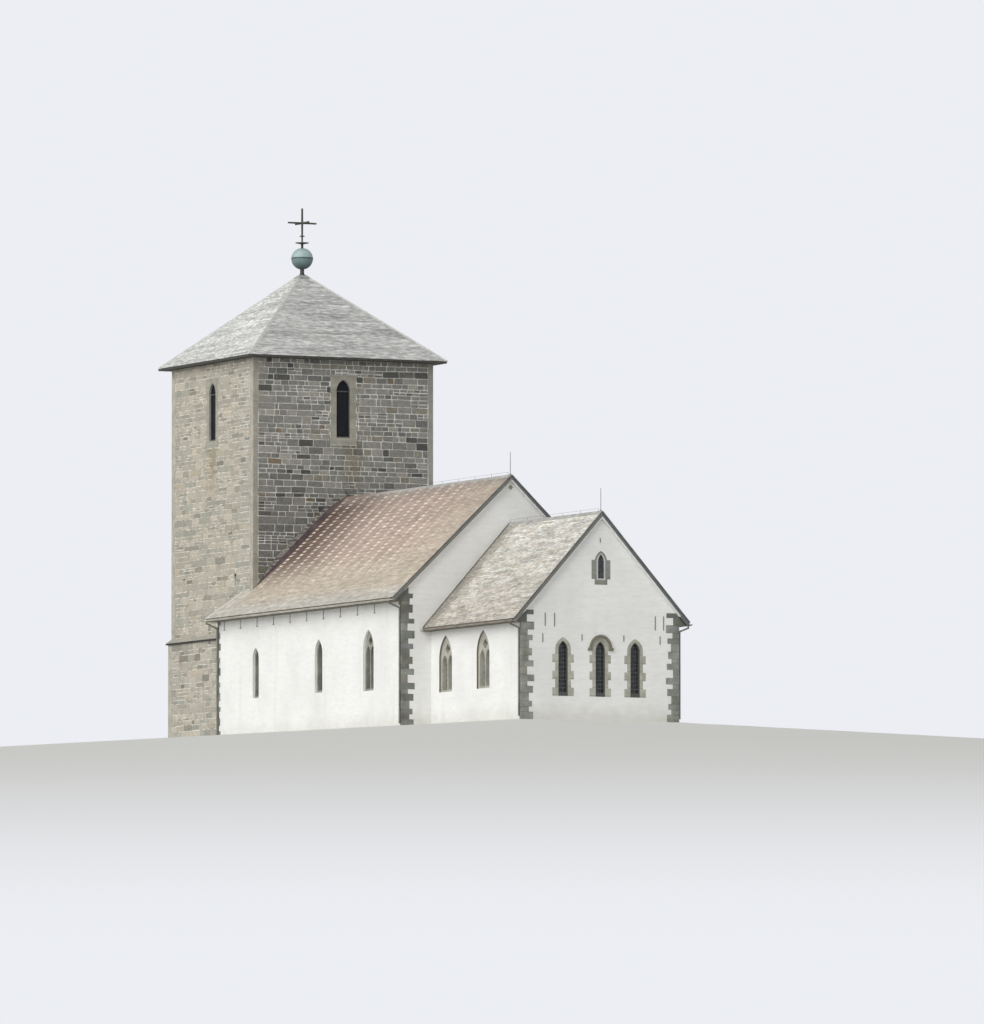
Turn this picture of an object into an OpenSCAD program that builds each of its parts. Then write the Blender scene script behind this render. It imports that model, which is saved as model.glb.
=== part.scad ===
// Medieval stone church: west tower, rendered nave and lower chancel.
// Millimetres. +Z up, -Y towards the chancel gable (east), +Y towards the tower (west).

/* [Tower] */
// Width of the tower across the church
tower_w = 10000; // [9600:50:10300]
// Length of the tower along the church
tower_d = 9800; // [9400:50:10200]
// Thickness of the tower walls
tower_wall_t = 1500; // [1200:50:1700]
// Height of the tower eaves
tower_eave_z = 19400; // [18500:100:21000]
// Rise of the tower roof from the eaves to the point
tower_rise = 4650; // [3800:50:6000]
// Width of the tower roof over its eaves
tower_roof_w = 11000; // [10800:50:11400]
// Height of the edge of the tower eaves
tower_edge_h = 100; // [60:5:200]
// Height of the thicker lowest stage
base_stage_h = 5300; // [4800:50:5500]
// How far the lowest stage stands out
base_stage_out = 120; // [60:10:180]
// Overhang of the weathered course past the tower face
course_out = 230; // [200:5:320]
// Height of the weathered course at its outer edge
course_edge_h = 70; // [40:5:120]
// Height of the weathered course at the tower face
course_back_h = 300; // [200:10:400]
// Top of the belfry floor
belfry_floor_z = 14900; // [14000:50:15100]

/* [Belfry openings] */
// Width of the lancets
lancet_w = 770; // [600:10:900]
// Height of the lancet sills
lancet_sill_z = 15330; // [15250:10:15500]
// Height of the lancet sides
lancet_spring_h = 2420; // [2000:10:2500]
// Rise of the lancet arches
lancet_rise = 580; // [450:10:650]
// Depth of the dressed stone surround
lancet_stone_t = 300; // [200:10:400]
// How far the shutters are set in
shutter_inset = 100; // [60:10:180]
// Thickness of the boarded shutters
shutter_t = 70; // [50:5:120]
// Height of the slit above the nave roof
slit_h = 580; // [400:10:700]
// Width of the slit
slit_w = 110; // [80:5:160]
// Depth of the slit
slit_depth = 450; // [200:10:700]

/* [West portal] */
// Width of the west doorway
portal_w = 1600; // [1300:20:1900]
// Height of the doorway sides above the floor
portal_spring_h = 2000; // [1800:20:2200]
// Rise of the doorway arch
portal_rise = 1050; // [900:10:1200]
// How far the door is set in
door_inset = 450; // [300:10:600]
// Thickness of the door
door_t = 80; // [60:5:120]
// Width of the arch between tower and nave
tower_arch_w = 2200; // [1600:50:2600]
// Height of the sides of the tower arch
tower_arch_spring_h = 2300; // [2000:50:2800]
// Rise of the tower arch
tower_arch_rise = 1500; // [1300:50:1800]

/* [Finial] */
// Radius of the ball
ball_r = 550; // [400:10:700]
// Radius of the post below the ball
post_r = 105; // [80:5:150]
// Length of the post below the ball
post_h = 235; // [150:5:400]
// Length of the rod above the ball
rod_h = 2040; // [1800:10:2400]
// Radius of the rod at the arms
rod_r = 55; // [44:1:70]
// Reach of each cross arm from the rod
arm_reach = 790; // [600:10:900]
// Height of the cross arms above the ball
arm_h = 1295; // [1000:5:1500]
// Radius of the saucer above the ball
saucer_r = 350; // [250:10:450]

/* [Nave] */
// Width of the nave over its walls
nave_w = 11640; // [11400:20:12200]
// Length of the nave from the tower to the outer face of its east gable
nave_l = 18840; // [17800:10:20000]
// How far the nave reaches past the east face of the tower
nave_lap = 2400; // [2200:20:2700]
// Thickness of the nave side walls
nave_wall_t = 1300; // [1100:20:1500]
// Thickness of the east gable of the nave
nave_gable_t = 1200; // [900:20:1400]
// Height of the nave eaves
nave_eave_z = 6250; // [6000:20:6800]
// Rise of the nave roof from the eaves to the ridge
nave_rise = 6110; // [5500:20:6500]
// Overhang of the nave eaves
nave_eave_out = 600; // [450:10:700]
// Overhang of the nave roof past its east gable
nave_verge_out = 250; // [150:10:450]
// Overhang of the hipped west ends of the nave roof
nave_west_out = 100; // [60:10:200]

/* [Chancel] */
// Width of the chancel over its walls
chancel_w = 8460; // [8200:20:8800]
// Length of the chancel past the nave gable
chancel_l = 9810; // [9200:10:10400]
// Thickness of the chancel walls
chancel_wall_t = 1200; // [1000:20:1400]
// Height of the chancel eaves
chancel_eave_z = 4800; // [4750:10:5200]
// Rise of the chancel roof from the eaves to the ridge
chancel_rise = 5220; // [4800:20:5500]
// Overhang of the chancel eaves
chancel_eave_out = 470; // [350:10:550]
// Overhang of the chancel roof past its gable
chancel_verge_out = 220; // [150:10:400]
// Width of the arch between nave and chancel
chancel_arch_w = 3400; // [2800:50:3800]
// Height of the sides of the chancel arch
chancel_arch_spring_h = 2600; // [2300:50:2900]
// Rise of the chancel arch
chancel_arch_rise = 2300; // [2000:50:2500]

/* [Roofs] */
// Thickness of the roofs: rafters, boards and slates
roof_t = 170; // [140:5:180]
// Height of the edge of the boxed eaves
eave_edge_h = 160; // [120:5:190]
// Thickness of the bargeboards
barge_t = 60; // [40:5:80]
// Depth of the nave bargeboards, measured plumb
nave_barge_h = 250; // [240:10:350]
// Depth of the chancel bargeboards, measured plumb
chancel_barge_h = 290; // [260:10:380]
// Half width of the ridge caps
ridge_half_w = 140; // [100:10:200]
// Thickness of the ridge caps
ridge_t = 35; // [25:5:60]
// Width of the flashing on the tower face, square to the roof
flashing_up = 380; // [250:10:450]
// Width of the flashing on the roof
flashing_out = 380; // [250:10:450]
// Length over which the flashing grows from the tower's corner
flashing_run = 2200; // [1500:50:3000]
// Outer radius of the gutters
gutter_r = 80; // [65:5:100]
// Thickness of the gutters
gutter_t = 10; // [8:1:14]
// Outer radius of the downpipes
pipe_r = 42; // [36:2:56]
// Gap between a downpipe and the wall
pipe_gap = 40; // [30:5:60]
// Thickness of the flashing at its outer edge
flashing_edge = 15; // [5:1:30]
// Length of the lightning rods
spike_h = 1080; // [800:20:1300]
// Radius of the lightning rods
spike_r = 14; // [10:1:20]

/* [Windows] */
// Width of the stone ring of the side windows
ring_w = 110; // [90:5:140]
// Width of mullions and tracery bars
bar_w = 90; // [70:5:110]
// Depth of the window stonework
tracery_t = 220; // [150:10:300]
// How far the window stonework is set in
tracery_inset = 120; // [60:10:200]
// Thickness of the glass
glass_t = 20; // [15:1:30]
// How much the window openings widen inside, on each side
splay = 180; // [100:10:220]
// Width of the east lancets
east_w = 430; // [360:10:480]
// Height of the east sills
east_sill_z = 1350; // [1200:10:1500]
// Height of the sides of the east lancets
east_spring_h = 2000; // [1800:10:2150]
// Rise of the arches of the east lancets
east_rise = 400; // [340:10:450]
// Distance from the middle of the gable to the outer east lancets
east_spacing = 1930; // [1700:10:2100]
// How far the outer east lancets are shifted south together
east_shift = 60; // [0:10:120]
// Width of the stone ring of the east lancets
east_ring = 210; // [170:10:240]
// Depth of the stone surrounds in the gable
east_stone_t = 160; // [120:10:300]
// How far the hood over the middle lancet stands out of the wall
hood_out = 110; // [70:5:140]
// Distance between the arch stones and the outer edge of the hood
hood_reach = 160; // [130:5:240]
// Height of the sill of the gable light
gable_light_z = 6790; // [6600:10:7000]
// Height of the gable light
gable_light_h = 1210; // [1000:10:1300]
// Width of the gable light
gable_light_w = 390; // [320:10:450]
// Width of the stone ring of the gable light
gable_ring = 140; // [100:5:180]
// Distance of the gable light from the middle of the gable
gable_light_x = 40; // [0:10:100]

/* [Stonework] */
// Long reach of the corner stones on a gable
quoin_long = 640; // [500:10:700]
// Short reach of the corner stones on a gable
quoin_short = 370; // [300:10:450]
// Reach of the short corner stones round the corner
quoin_depth = 300; // [240:10:400]
// Reach of the long corner stones round the corner
quoin_return = 150; // [60:10:220]
// Mean height of the corner stones
quoin_h = 310; // [250:10:450]
// How much the height of the corner stones varies
quoin_jitter = 55; // [0:5:90]
// Thickness of the floors
floor_t = 250; // [150:10:350]

/* [Hidden] */
$fn = 96;

eps = 1;
south = 1;
north = -1;

// Distance of the first windows from the walls west of them, and of the last ones from the gables
nave_window_west = 2090;
nave_window_east = 3740;
chancel_window_west = 1590;
chancel_window_east = 4110;
// Windows in the nave walls: distance east of the tower face, width, sill, apex, lights
nave_windows = [
    [nave_window_west, 720, 2100, 4600, 1],
    [nave_l / 2, 860, 2050, 4670, 1],
    [nave_l - nave_window_east, 1190, 1900, 4880, 2]
];
// Windows in the chancel walls: distance east of the nave gable, width, sill, apex, lights
chancel_windows = [
    [chancel_window_west, 1410, 1650, 4380, 2],
    [chancel_l - chancel_window_east, 1400, 1650, 4450, 2]
];
// Rise of a side window's arch as a share of its width
arch_share = 0.8;

// Wall irons on the chancel gable: distance from the middle, foot, length
gable_irons = [
    [-2950, 4480, 640], [-2450, 4480, 640], [2950, 4400, 680], [3400, 4400, 680],
    [-3080, 3700, 430], [-980, 3820, 300], [1260, 3820, 300], [3210, 3720, 400], [0, 8540, 220]
];
iron_w = 40;
iron_t = 22;
// Irons below the nave eaves: how many, the first one from the west end, the last from the east end, length
nave_iron_count = 10;
nave_iron_west = 790;
nave_iron_east = 3030;
nave_iron_step = (nave_l + nave_lap - nave_iron_west - nave_iron_east) / (nave_iron_count - 1);
nave_iron_h = 440;

// Half widths and roof shapes
tower_half = tower_w / 2;
tower_roof_half = tower_roof_w / 2;
tower_apex_z = tower_eave_z + tower_rise;
tower_roof_plumb = roof_t / cos(atan(tower_rise / tower_roof_half));

nave_half = nave_w / 2;
nave_eave_x = nave_half + nave_eave_out;
nave_ridge_z = nave_eave_z + nave_rise;
nave_slope = nave_rise / nave_eave_x;
nave_pitch = atan(nave_slope);
nave_plumb = roof_t / cos(nave_pitch);

chancel_half = chancel_w / 2;
chancel_eave_x = chancel_half + chancel_eave_out;
chancel_ridge_z = chancel_eave_z + chancel_rise;
chancel_slope = chancel_rise / chancel_eave_x;
chancel_pitch = atan(chancel_slope);
chancel_plumb = roof_t / cos(chancel_pitch);

// Places along the church, from the east face of the tower
nave_gable_y = -nave_l;
nave_verge_y = nave_gable_y - nave_verge_out;
nave_west_y = nave_lap + nave_west_out;
chancel_gable_y = nave_gable_y - chancel_l;
chancel_verge_y = chancel_gable_y - chancel_verge_out;
tower_mid_y = tower_d / 2;

// The model's origin is below the middle of the whole length
mid_y = (tower_mid_y + tower_roof_half + chancel_verge_y) / 2;

// The eaves are boxed in, with level soffits
nave_soffit_z = nave_eave_z - eave_edge_h;
chancel_soffit_z = chancel_eave_z - eave_edge_h;

function nave_under(x) = nave_ridge_z - nave_plumb - abs(x) * nave_slope;
function nave_top(x) = nave_ridge_z - abs(x) * nave_slope;
function nave_hip_top(y) = nave_eave_z + (nave_west_y - y) * nave_slope;
function nave_hip_under(y) = nave_hip_top(y) - nave_plumb;
function chancel_under(x) = chancel_ridge_z - chancel_plumb - abs(x) * chancel_slope;
function chancel_top(x) = chancel_ridge_z - abs(x) * chancel_slope;

// Puts everything over the origin
module centred() {
    translate([0, -mid_y, 0]) children();
}

// Extrudes an outline drawn in x and z from y0 to y1
module along_y(y0, y1) {
    translate([0, y1, 0]) rotate([90, 0, 0]) linear_extrude(height = y1 - y0) children();
}

// Extrudes an outline drawn in y and z from x0 to x1
module along_x(x0, x1) {
    translate([x0, 0, 0]) rotate([90, 0, 90]) linear_extrude(height = x1 - x0) children();
}

module both_sides() {
    children();
    mirror([1, 0, 0]) children();
}

// A frame on a side wall, with the wall's outer face at y = 0 and x running east
module on_side_wall(half, side = south) {
    scale_x = side == south ? 0 : 1;
    mirror([scale_x, 0, 0]) translate([-half, 0, 0]) rotate([0, 0, -90]) children();
}

// A frame on a tower wall, with its outer face at y = 0: 0 east, 1 north, 2 west, 3 south
module on_tower_wall(turn) {
    half = turn % 2 == 0 ? tower_d / 2 : tower_w / 2;
    translate([0, tower_mid_y, 0]) rotate([0, 0, 90 * turn]) translate([0, -half, 0]) children();
}

// Pointed arch on straight sides, with its foot at the origin
module pointed(w, spring_h, rise) {
    r = (rise * rise + w * w / 4) / w;
    translate([-w / 2, 0]) square([w, spring_h]);
    intersection() {
        translate([r - w / 2, spring_h]) circle(r);
        translate([w / 2 - r, spring_h]) circle(r);
        translate([-w / 2, spring_h]) square([w, rise + eps]);
    }
}

// Dressed jamb stones, long and short in turn, from z0 to z1
module jamb_stones(half_long, half_short, stone_h, z0, z1) {
    count = round((z1 - z0) / stone_h);
    h = (z1 - z0) / count;
    for (i = [0 : count - 1]) {
        half = i % 2 == 0 ? half_long : half_short;
        translate([-half, z0 + i * h]) square([2 * half, h + (i < count - 1 ? eps : 0)]);
    }
}

// Tower walls

// Outline of everything below the underside of the tower roof
module below_tower_roof() {
    foot = tower_eave_z - tower_roof_plumb;
    top = tower_apex_z - tower_roof_plumb;
    outline = [
        [-tower_roof_half, 0], [-tower_roof_half, foot], [0, top],
        [tower_roof_half, foot], [tower_roof_half, 0]
    ];
    translate([0, tower_mid_y, 0]) intersection() {
        along_y(-tower_roof_half, tower_roof_half) polygon(outline);
        along_x(-tower_roof_half, tower_roof_half) polygon(outline);
    }
}

module belfry_surround_outline() {
    half_short = lancet_w / 2 + 310;
    half_long = lancet_w / 2 + 400;
    foot = lancet_sill_z - 280;
    top = lancet_sill_z + lancet_spring_h + lancet_rise + 250;
    jamb_stones(half_long, half_short, 330, foot, top);
}

module lancet_outline() {
    translate([0, lancet_sill_z]) pointed(lancet_w, lancet_spring_h, lancet_rise);
}

// The pocket for the dressed stones and the opening behind it
module lancet_cut() {
    along_y(-base_stage_out, lancet_stone_t) belfry_surround_outline();
    along_y(lancet_stone_t - eps, tower_wall_t + eps) lancet_outline();
}

module tower_shell_top() {
    intersection() {
        children();
        below_tower_roof();
    }
}

wall_top_z = tower_eave_z + tower_rise;

module portal_surround_outline() {
    half = portal_w / 2;
    jamb_stones(half + 420, half + 300, 380, 0, floor_t + portal_spring_h + portal_rise + 300);
}

module portal_outline() {
    translate([0, floor_t]) pointed(portal_w, portal_spring_h, portal_rise);
}

module tower_east_wall() {
    color("dimgray") tower_shell_top() difference() {
        translate([-tower_half, 0, 0]) cube([tower_w, tower_wall_t, wall_top_z]);
        on_tower_wall(0) lancet_cut();
        along_y(-eps, tower_wall_t + eps) translate([0, floor_t])
            pointed(tower_arch_w, tower_arch_spring_h, tower_arch_rise);
    }
}

module tower_west_wall() {
    y = tower_d - tower_wall_t;
    out = base_stage_out;
    color("dimgray") tower_shell_top() difference() {
        union() {
            translate([-tower_half, y, 0]) cube([tower_w, tower_wall_t, wall_top_z]);
            translate([-tower_half - out, y, 0]) cube([tower_w + 2 * out, tower_wall_t + out, base_stage_h]);
        }
        on_tower_wall(2) lancet_cut();
        on_tower_wall(2) along_y(-out - eps, lancet_stone_t) portal_surround_outline();
        on_tower_wall(2) along_y(-out, tower_wall_t + eps) portal_outline();
    }
}

// A side wall of the tower between its east and west walls
module tower_side_wall() {
    y0 = tower_wall_t;
    y1 = tower_d - tower_wall_t;
    tower_shell_top() difference() {
        union() {
            translate([-tower_half, y0, 0]) cube([tower_wall_t, y1 - y0, wall_top_z]);
            translate([-tower_half - base_stage_out, nave_lap, 0])
                cube([tower_wall_t, y1 - nave_lap, base_stage_h]);
        }
        on_tower_wall(3) lancet_cut();
    }
}

// The slit stands above the nave roof, west of the tower's corner
slit_y = 2040;
slit_lift = 350;

module slit_cut() {
    translate([-tower_half - eps, slit_y, nave_top(tower_half) + slit_lift])
        cube([slit_depth + eps, slit_w, slit_h]);
}

module tower_south_wall() {
    color("dimgray") difference() {
        tower_side_wall();
        slit_cut();
    }
}

module tower_north_wall() {
    color("dimgray") mirror([1, 0, 0]) tower_side_wall();
}

// Weathered course on the ledge of the lowest stage
module tower_course() {
    z0 = base_stage_h;
    z1 = z0 + course_edge_h;
    z2 = z0 + course_back_h;
    outer = tower_half + course_out;
    end_y = tower_d + course_out;
    color("slategray") difference() {
        intersection() {
            along_y(nave_lap, end_y) polygon([
                [-outer, z0], [-outer, z1], [-tower_half, z2], [tower_half, z2], [outer, z1], [outer, z0]
            ]);
            along_x(-outer, outer) polygon([
                [nave_lap, z0], [nave_lap, z2], [tower_d, z2], [end_y, z1], [end_y, z0]
            ]);
        }
        translate([-tower_half, -eps, 0]) cube([tower_w, tower_d + eps, z2 + eps]);
    }
}

module tower_floor() {
    inner = tower_half - tower_wall_t;
    color("darkgray") translate([-inner, tower_wall_t, 0])
        cube([2 * inner, tower_d - 2 * tower_wall_t, floor_t]);
}

module belfry_floor() {
    inner = tower_half - tower_wall_t;
    color("burlywood") translate([-inner, tower_wall_t, belfry_floor_z - floor_t])
        cube([2 * inner, tower_d - 2 * tower_wall_t, floor_t]);
}

// Rise of the sloping sills of the lancets
lancet_sill_h = 90;

// Dressed stone round one belfry lancet, with its sloping sill
module belfry_surround() {
    along_y(0, lancet_stone_t) difference() {
        belfry_surround_outline();
        lancet_outline();
    }
    along_x(-lancet_w / 2, lancet_w / 2) polygon([
        [0, lancet_sill_z - eps], [0, lancet_sill_z], [shutter_inset, lancet_sill_z + lancet_sill_h],
        [shutter_inset, lancet_sill_z - eps]
    ]);
}

module belfry_surrounds() {
    color("silver") for (turn = [0 : 3]) on_tower_wall(turn) belfry_surround();
}

// A shutter: a frame with one panel below the springing and one in the arch
module belfry_shutter() {
    frame_w = 65;
    transom_h = 55;
    inner_w = lancet_w - 2 * frame_w;
    foot = lancet_sill_z + lancet_sill_h;
    spring_z = lancet_sill_z + lancet_spring_h;
    recess = shutter_t / 2;
    translate([0, shutter_inset, 0]) difference() {
        along_y(0, shutter_t) lancet_outline();
        along_y(-eps, recess) {
            translate([-inner_w / 2, foot]) square([inner_w, spring_z - transom_h / 2 - foot]);
            translate([0, spring_z + transom_h / 2])
                pointed(inner_w, frame_w / 3, lancet_rise - transom_h / 2 - frame_w * 1.5);
        }
    }
}

module belfry_shutters() {
    color("darkslategray") for (turn = [0 : 3]) on_tower_wall(turn) belfry_shutter();
}

// Stone surround of the west doorway, flush with the lowest stage
module west_portal() {
    color("silver") on_tower_wall(2) along_y(-base_stage_out, lancet_stone_t) difference() {
        portal_surround_outline();
        portal_outline();
        translate([-portal_w / 2, -eps]) square([portal_w, floor_t + 2 * eps]);
    }
    color("silver") on_tower_wall(2) translate([-portal_w / 2, -base_stage_out, 0])
        cube([portal_w, lancet_stone_t + base_stage_out, floor_t]);
}

// Two boarded leaves that meet in the middle
module west_door() {
    board_count = 8;
    board_w = portal_w / board_count;
    groove_w = 16;
    groove_d = 14;
    strap_h = 90;
    strap_t = 14;
    strap_places = [500, 1650];
    color("saddlebrown") on_tower_wall(2) {
        difference() {
            along_y(door_inset, door_inset + door_t) portal_outline();
            for (i = [1 : board_count - 1])
                translate([-portal_w / 2 + i * board_w - groove_w / 2, door_inset - eps, floor_t - eps])
                    cube([groove_w, groove_d + eps, portal_spring_h + portal_rise + 2 * eps]);
        }
        for (z = strap_places, side = [-1, 1])
            translate([side * portal_w / 4 - portal_w / 5, door_inset - strap_t, floor_t + z])
                cube([portal_w / 2.5, strap_t + eps, strap_h]);
    }
}

// Tower roof

// The outer faces of the tower roof, with a plumb edge and a level soffit at the eaves
module tower_roof_outer() {
    foot = tower_eave_z - tower_edge_h;
    outline = [
        [-tower_roof_half, foot], [-tower_roof_half, tower_eave_z], [0, tower_apex_z],
        [tower_roof_half, tower_eave_z], [tower_roof_half, foot]
    ];
    translate([0, tower_mid_y, 0]) intersection() {
        along_y(-tower_roof_half, tower_roof_half) polygon(outline);
        along_x(-tower_roof_half, tower_roof_half) polygon(outline);
    }
}

// What the tower roof leaves free over the walls
module tower_roof_inside() {
    intersection() {
        below_tower_roof();
        translate([-tower_half, 0, 0]) cube([tower_w, tower_d, wall_top_z]);
    }
}

// The flat at the point of the roof that carries the finial
finial_z = tower_apex_z - 130;

// One quarter of the roof, cut at the hips: 0 east, 1 north, 2 west, 3 south
module tower_roof_quarter(turn) {
    reach = 2 * tower_roof_half;
    wedge = turn == 0 ? [[0, 0], [-reach, -reach], [reach, -reach]]
          : turn == 1 ? [[0, 0], [reach, -reach], [reach, reach]]
          : turn == 2 ? [[0, 0], [reach, reach], [-reach, reach]]
          : [[0, 0], [-reach, reach], [-reach, -reach]];
    color("lightgray") intersection() {
        difference() {
            tower_roof_outer();
            tower_roof_inside();
            translate([-post_r * 3, tower_mid_y - post_r * 3, finial_z])
                cube([post_r * 6, post_r * 6, tower_rise]);
        }
        translate([0, tower_mid_y, 0]) linear_extrude(height = tower_apex_z + roof_t) polygon(wedge);
    }
}

module tower_roof_east() { tower_roof_quarter(0); }
module tower_roof_north() { tower_roof_quarter(1); }
module tower_roof_west() { tower_roof_quarter(2); }
module tower_roof_south() { tower_roof_quarter(3); }

// Finial

post_foot_h = 150;
ball_z = finial_z + post_foot_h + post_h + ball_r - 30;
ball_neck_r = post_r + 25;

// A spreading foot on the flat of the roof, and the post on it
module finial_post() {
    foot_r = post_r * 2.1;
    color("darkslategray") translate([0, tower_mid_y, finial_z]) {
        cylinder(h = post_foot_h, r1 = foot_r, r2 = post_r);
        cylinder(h = post_foot_h + post_h, r = post_r);
    }
}

// Copper ball of two halves on a seam, cut flat where post and cross seat
module finial_ball() {
    seam_h = 36;
    seam_out = 12;
    low = finial_z + post_foot_h + post_h;
    high = ball_z + ball_r - 30;
    color("cadetblue") translate([0, tower_mid_y, 0]) intersection() {
        union() {
            translate([0, 0, ball_z]) sphere(ball_r);
            translate([0, 0, ball_z - seam_h / 2]) cylinder(h = seam_h, r = ball_r + seam_out);
            translate([0, 0, low]) cylinder(h = ball_r / 3, r = ball_neck_r);
        }
        translate([-2 * ball_r, -2 * ball_r, low]) cube([4 * ball_r, 4 * ball_r, high - low]);
    }
}

// Rod with saucer, collar and four arms
module finial_cross() {
    foot = ball_z + ball_r - 30;
    neck_r = 62;
    rod_low_r = 36;
    saucer_up = 275;
    saucer_drop = 60;
    saucer_rim = 25;
    collar_up = 610;
    collar_r = 130;
    arm_r = 47;
    color("dimgray") translate([0, tower_mid_y, foot]) {
        cylinder(h = saucer_up, r = neck_r);
        cylinder(h = arm_h, r1 = rod_low_r, r2 = rod_r);
        translate([0, 0, arm_h]) cylinder(h = rod_h - arm_h, r1 = rod_r, r2 = rod_r * 0.9);
        translate([0, 0, saucer_up - saucer_drop]) cylinder(h = saucer_drop, r1 = neck_r, r2 = saucer_r);
        translate([0, 0, saucer_up]) cylinder(h = saucer_rim, r = saucer_r);
        translate([0, 0, collar_up]) cylinder(h = 40, r = collar_r);
        for (turn = [0 : 3]) translate([0, 0, arm_h]) rotate([0, 90, 90 * turn])
            cylinder(h = arm_reach, r1 = arm_r * 1.1, r2 = arm_r * 0.9);
    }
}

// Side windows of nave and chancel

function window_rise(w) = arch_share * w;
function window_spring(w, sill, apex) = apex - sill - window_rise(w);

module window_outline(w, sill, apex, grow = 0) {
    translate([0, sill]) offset_arch(w, window_spring(w, sill, apex), window_rise(w), grow);
}

// A pointed outline made wider on both sides and taller by the same amount
module offset_arch(w, spring_h, rise, grow) {
    pointed(w + 2 * grow, spring_h, rise + grow);
}

// Quatrefoil of four lobes round a point
module quatrefoil(r) {
    lobe = r * 0.52;
    circle(lobe);
    for (a = [0 : 90 : 270]) rotate(a) translate([r - lobe, 0]) circle(lobe);
}

// The openings that the stonework of a window leaves for glass
module window_lights(w, sill, apex, lights) {
    rise = window_rise(w);
    spring_h = window_spring(w, sill, apex);
    if (lights == 1) {
        translate([0, sill + ring_w]) pointed(w - 2 * ring_w, spring_h - ring_w, rise - ring_w * 1.2);
    } else {
        light_w = (w - 2 * ring_w - bar_w) / 2;
        for (side = [-1, 1]) translate([side * (light_w + bar_w) / 2, sill + ring_w])
            pointed(light_w, spring_h - ring_w - light_w * 0.55, light_w * 0.9);
        translate([0, sill + spring_h + rise * 0.42]) quatrefoil(w * 0.17);
    }
}

module window_stone(w, sill, apex, lights) {
    along_y(tracery_inset, tracery_inset + tracery_t) difference() {
        window_outline(w, sill, apex);
        window_lights(w, sill, apex, lights);
    }
}

module window_glass(w, sill, apex) {
    y = tracery_inset + tracery_t;
    along_y(y, y + glass_t) window_outline(w, sill, apex);
}

// A straight reveal outside, and a wider one inside the glass
module window_cut(w, sill, apex, wall_t) {
    y = tracery_inset + tracery_t + glass_t;
    along_y(-eps, y) window_outline(w, sill, apex);
    along_y(y - eps, wall_t + eps) window_outline(w, sill - splay, apex, splay / 2);
}

// Nave

function quoin_z(i) = i * quoin_h + quoin_jitter * sin(97 * i);

// Corner stones with their corner at the origin, reaching towards +x and +y
module quoin_stack(top, long, short) {
    count = floor(top / quoin_h);
    for (i = [0 : count - 1]) {
        reach = (i % 2 == 0 ? long : short) + 60 * sin(137 * i);
        depth = (i % 2 == 0 ? quoin_return : quoin_depth) + 30 * sin(101 * i);
        h = quoin_z(i + 1) - quoin_z(i) + (i < count - 1 ? eps : 0);
        translate([0, 0, quoin_z(i)]) cube([reach, depth, h]);
    }
}

// What lies below the underside of a roof, over the width of the walls
module gable_outline(half, corner_z, top_z) {
    polygon([[-half, 0], [-half, corner_z], [0, top_z], [half, corner_z], [half, 0]]);
}

module nave_gable_outline() {
    gable_outline(nave_half, nave_under(nave_half), nave_under(0));
}

module chancel_gable_outline() {
    gable_outline(chancel_half, chancel_under(chancel_half), chancel_under(0));
}

module nave_east_quoins() {
    intersection() {
        both_sides() translate([-nave_half, nave_gable_y, 0])
            quoin_stack(nave_under(nave_half - quoin_short), quoin_long, quoin_short);
        along_y(nave_gable_y, nave_gable_y + nave_gable_t) nave_gable_outline();
    }
}

module nave_west_quoins() {
    gap = nave_half - tower_half;
    both_sides() translate([-nave_half, nave_lap, 0]) mirror([0, 1, 0])
        quoin_stack(nave_soffit_z, gap * 0.6, gap * 0.4);
}

module nave_side_wall() {
    x0 = -nave_half;
    x1 = -nave_half + nave_wall_t;
    difference() {
        along_y(nave_gable_y + nave_gable_t, nave_lap) polygon([
            [x0, 0], [x0, nave_under(x0)], [x1, nave_under(x1)], [x1, 0]
        ]);
        translate([-tower_half, 0, -eps]) cube([tower_w, tower_d, nave_ridge_z]);
        along_x(x0 - eps, x1) polygon([
            [0, nave_hip_under(0)], [nave_west_y, nave_hip_under(nave_west_y)],
            [nave_west_y, nave_ridge_z], [0, nave_ridge_z]
        ]);
        nave_west_quoins();
        on_side_wall(nave_half) for (v = nave_windows)
            translate([v[0], 0, 0]) window_cut(v[1], v[2], v[3], nave_wall_t);
    }
}

module nave_south_wall() {
    color("whitesmoke") nave_side_wall();
}

module nave_north_wall() {
    color("whitesmoke") mirror([1, 0, 0]) nave_side_wall();
}

// A small diamond recess near the top of the gable
module gable_vent() {
    size = 190;
    depth = 220;
    shift = 70;
    vent_z = 11780;
    along_y(nave_gable_y - eps, nave_gable_y + depth) translate([shift, vent_z])
        rotate(45) square(size, center = true);
}

module nave_east_gable() {
    color("whitesmoke") difference() {
        along_y(nave_gable_y, nave_gable_y + nave_gable_t) nave_gable_outline();
        nave_east_quoins();
        gable_vent();
        along_y(nave_gable_y - eps, nave_gable_y + nave_gable_t + eps) translate([0, floor_t])
            pointed(chancel_arch_w, chancel_arch_spring_h, chancel_arch_rise);
    }
}

module nave_floor() {
    x = nave_half - nave_wall_t;
    y0 = nave_gable_y + nave_gable_t;
    color("darkgray") translate([-x, y0, 0]) cube([2 * x, -y0, floor_t]);
}

// Section of one roof slope, and of the box under its eaves
module roof_slope(eave_x, eave_z, ridge_z, plumb) {
    slope = (ridge_z - eave_z) / eave_x;
    soffit_x = eave_x - (plumb - eave_edge_h) / slope;
    polygon([
        [-soffit_x, eave_z - eave_edge_h], [-eave_x, eave_z - eave_edge_h], [-eave_x, eave_z],
        [0, ridge_z], [0, ridge_z - plumb]
    ]);
}

module eave_box(half, eave_x, eave_z, under_z) {
    polygon([
        [-half, eave_z - eave_edge_h], [-eave_x, eave_z - eave_edge_h],
        [-eave_x, eave_z], [-half, under_z + eps]
    ]);
}

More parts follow.
